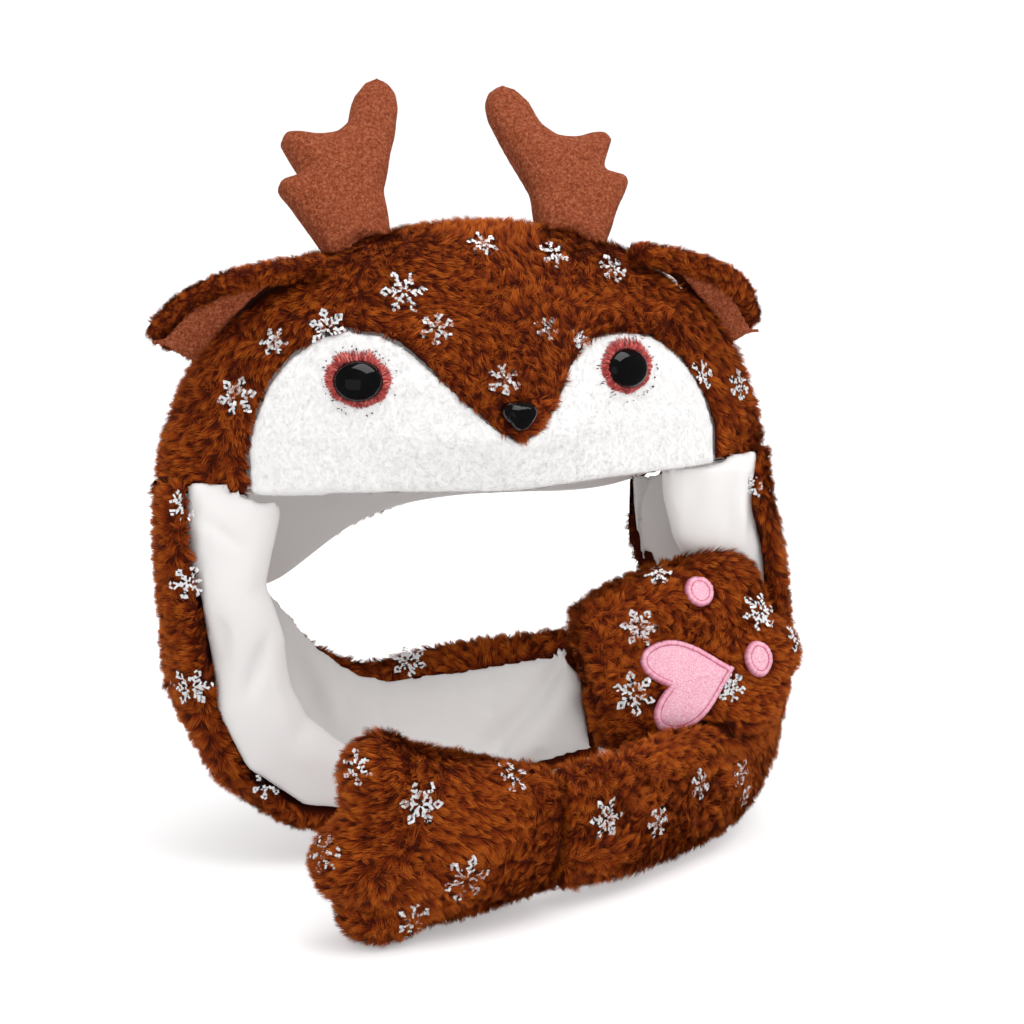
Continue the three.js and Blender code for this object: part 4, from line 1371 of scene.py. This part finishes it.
# Where the camera sees the middle of each printed snowflake, and how far it reaches, in pixels of the frame.
SEEN_FLAKES = (
    (404, 293, 23), (328, 329, 19), (275, 343, 14), (238, 397, 19), (437, 330, 17), (482, 247, 16),
    (552, 256, 16), (610, 271, 17), (663, 275, 14), (544, 329, 14), (503, 381, 17), (577, 340, 10),
    (698, 376, 17), (736, 385, 17), (753, 487, 15), (185, 505, 17), (188, 582, 17), (192, 686, 19),
    (266, 783, 16), (409, 664, 20), (358, 767, 16), (419, 803, 21), (511, 776, 17), (326, 854, 17),
    (464, 878, 24), (503, 900, 14), (409, 917, 17), (603, 817, 21), (654, 821, 17), (696, 783, 17),
    (737, 772, 16), (741, 795, 12), (658, 576, 15), (639, 628, 19), (633, 694, 22), (729, 687, 17),
    (757, 613, 20), (792, 638, 15),
)


@dataclass
class Snowflakes:
    """Snowflakes hot-stamped in silver foil on the tips of the brown pile, broken up by its tufts."""

    studio: Studio
    px_per_mm: float = 2.24
    stand_mm: float = 2.2
    spacing_mm: float = 40.0
    stroke_mm: float = 1.25
    cell_mm: float = 1.3
    lost: float = 0.1
    seed: int = 71
    carriers: tuple[str, ...] = ("hood_fur", "flap_left_fur", "flap_right_fur", "paw_left", "paw_right")

    def build(self) -> None:
        """Stamps the flakes that the camera sees, and more of the same spacing where it doesn't."""
        rng = np.random.default_rng(self.seed)
        everything = tree_of(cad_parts.values())
        for carrier in self.carriers:
            surface = tree_of([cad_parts[carrier]])
            points: list[Vector] = []
            tones: list[float] = []
            for spot, normal, reach in self._places(carrier, surface, everything, rng):
                self._stamp(spot, normal, reach, surface, rng, points, tones)
            base = np.arange(len(points) // 4)[:, None] * 4
            mesh = mesh_of("foil", rest_on_table(np.array(points)), [base + [0, 1, 2, 3]])
            foil = add_object(f"snowflakes_{carrier}", mesh)
            tone_colours(foil.data, np.array(tones))
            dress(foil, Cloth.SILVER_FOIL)

    def _places(
        self, carrier: str, surface: BVHTree, everything: BVHTree, rng: np.random.Generator
    ) -> list[tuple[Vector, Vector, float]]:
        """Finds the middles of the flakes on one carrier.

        Args:
            carrier: The CAD node that carries them.
            surface: Its search tree.
            everything: The whole hood's search tree.
            rng: The source of the random draws.

        Returns:
            Each flake's middle, its normal and its reach in millimetres.
        """
        eye = self.studio.eye()
        found: list[tuple[Vector, Vector, float]] = []
        for px, py, reach_px in SEEN_FLAKES:
            way = self.studio.ray(px, py)
            hit, normal, _, distance = everything.ray_cast(eye, way)
            own = surface.ray_cast(eye, way)
            if hit is not None and own[0] is not None and abs(own[3] - distance) < 0.5 * MM:
                found.append((hit, normal, reach_px / self.px_per_mm))
        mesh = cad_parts[carrier].data
        mesh.calc_loop_triangles()
        triangles = mesh.loop_triangles
        areas = np.array([t.area for t in triangles])
        for i in rng.choice(len(triangles), 900, p=areas / areas.sum()):
            corners = [mesh.vertices[v].co for v in triangles[int(i)].vertices]
            u, v = sorted(rng.uniform(size=2))
            spot = corners[0] * u + corners[1] * (v - u) + corners[2] * (1 - v)
            normal = (corners[1] - corners[0]).cross(corners[2] - corners[0]).normalized()
            if any((spot - other).length < self.spacing_mm * MM for other, _, _ in found):
                continue
            if everything.ray_cast(spot + normal * MM, normal, 14 * MM)[0] is not None:
                continue
            if normal.dot((eye - spot).normalized()) > -0.5:
                continue
            found.append((spot, normal, float(rng.uniform(7.0, 9.5))))
        return found

    def _strokes(self, reach: float) -> list[tuple[np.ndarray, np.ndarray]]:
        """The strokes of one flake: six arms, each with a pair of forks and a diamond at its end."""
        strokes = []
        for k in range(6):
            angle = k * math.pi / 3
            arm = np.array([math.cos(angle), math.sin(angle)])
            strokes.append((arm * reach * 0.12, arm * reach * 0.6))
            for turn in (-1, 1):
                fork = np.array([math.cos(angle + turn * 0.9), math.sin(angle + turn * 0.9)])
                corner = arm * reach * 0.8 + np.array([-arm[1], arm[0]]) * turn * reach * 0.16
                strokes.append((arm * reach * 0.34, arm * reach * 0.34 + fork * reach * 0.24))
                strokes.append((arm * reach * 0.58, corner))
                strokes.append((corner, arm * reach))
        return strokes

    def _stamp(
        self,
        spot: Vector,
        normal: Vector,
        reach: float,
        surface: BVHTree,
        rng: np.random.Generator,
        points: list[Vector],
        tones: list[float],
    ) -> None:
        """Stamps one flake as small shards that lie on the pile's tips.

        Args:
            spot: The flake's middle on the carrier.
            normal: The carrier's normal there.
            reach: The flake's reach in millimetres.
            surface: The carrier's search tree.
            rng: The source of the random draws.
            points: The shards' corners so far, which are added to.
            tones: The corners' tones so far, which are added to.
        """
        turn = rng.uniform(0, math.pi / 3)
        first = normal.orthogonal().normalized()
        first = Matrix.Rotation(turn, 3, normal) @ first
        second = normal.cross(first)
        for start, end in self._strokes(reach):
            line = end - start
            length = float(np.linalg.norm(line))
            way = line / length
            side = np.array([-way[1], way[0]])
            for k in range(max(1, round(length / self.cell_mm))):
                if rng.uniform() < self.lost:
                    continue
                at = start + way * (k + 0.5) * self.cell_mm + rng.normal(0, 0.16, 2)
                half_long = self.cell_mm * rng.uniform(0.55, 0.8)
                half_wide = self.stroke_mm * rng.uniform(0.35, 0.65)
                tilt = rng.normal(0, 0.24, 2)
                middle = spot + (first * at[0] + second * at[1]) * MM
                hit, facing, _, _ = surface.ray_cast(middle + normal * 14 * MM, -normal, 34 * MM)
                if hit is None:
                    continue
                # Shards of low tone take the foil's painted shadow colour.
                tone = float(np.clip(rng.normal(0.55, 0.35), 0, 1))
                stand = self.stand_mm + rng.uniform(-0.3, 0.6)
                for a, b in ((-1, -1), (1, -0.8), (0.9, 1), (-0.8, 0.9)):
                    step = way * a * half_long + side * b * half_wide
                    lift = stand + a * half_long * tilt[0] + b * half_wide * tilt[1]
                    flat = (first * step[0] + second * step[1]) * MM
                    flat -= facing * flat.dot(facing)
                    points.append(hit + flat + facing * lift * MM)
                    tones.append(tone)


def main() -> None:
    """Builds the studio and every piece of the hood, and writes how large the hood has become."""
    logging.basicConfig(level=logging.INFO, format="%(name)s: %(message)s")
    studio = Studio()
    studio.build()
    Crown().build()
    Eyes().build()
    Nose().build()
    Antlers().build()
    Ears().build()
    left_folds = (
        (place(-106, -26, 104), place(-114, -26, 80), 3.4, 3.4),
        (place(-133, -24, 162), place(-116, -26, 148), 3.0, 1.3),
        (place(-127, -25, 118), place(-126, -24, 98), 6.0, 2.0),
        (place(-82, 22, 86), place(-72, 8, 50), 6.0, 3.0),
        (place(42, -16, 86), place(26, -17, 58), 5.0, 4.5),
        (place(28, -17, 62), place(0, -16, 34), 6.0, 4.0),
        (place(50, -21, 80), place(34, -23, 54), 6.0, -3.0),
        (place(34, -23, 56), place(12, -21, 32), 8.0, -2.5),
        (place(-50, 6, 62), place(-8, -4, 50), 9.0, 1.8),
    )
    right_folds = (
        (place(124, -25, 164), place(117, -24, 128), 4.0, 2.6),
        (place(128, -24, 156), place(129, -24, 136), 4.0, -1.5),
        (place(104, -26, 172), place(100, -26, 140), 5.0, 1.4),
    )
    SideFlap("left", left_folds, stand_mm=-1.2).build()
    SideFlap("right", right_folds).build()
    Paw(
        side="left",
        cuff=place(46, -33, 78),
        along=Vector((1, -0.05, 0.14)),
        palm=Vector((-0.12, -0.93, 0.35)),
        heart_at=(40.0, -15.5),
        heart_size=21.0,
        heart_turn_deg=3.0,
        toes=((58, 25, 6.5, 7), (79, -12, 6.5, 8), (51, -43, 4.5, 4)),
        creases=(10.0, -23.0),
        reach=98.0,
    ).build()
    Paw(
        side="right",
        cuff=place(1.5, -106, 30),
        along=Vector((-1, -0.18, 0.09)),
        palm=Vector((-0.18, 1, 0.06)),
        heart_at=(46.0, 0.0),
        heart_size=20.0,
        heart_turn_deg=0.0,
        toes=((70, 24, 7, 7), (86, -7, 6, 8), (70, -30, 6, 6)),
        creases=(12.0, -25.0),
        reach=106.0,
    ).build()
    Snowflakes(studio).build()


if __name__ == "__main__":
    main()
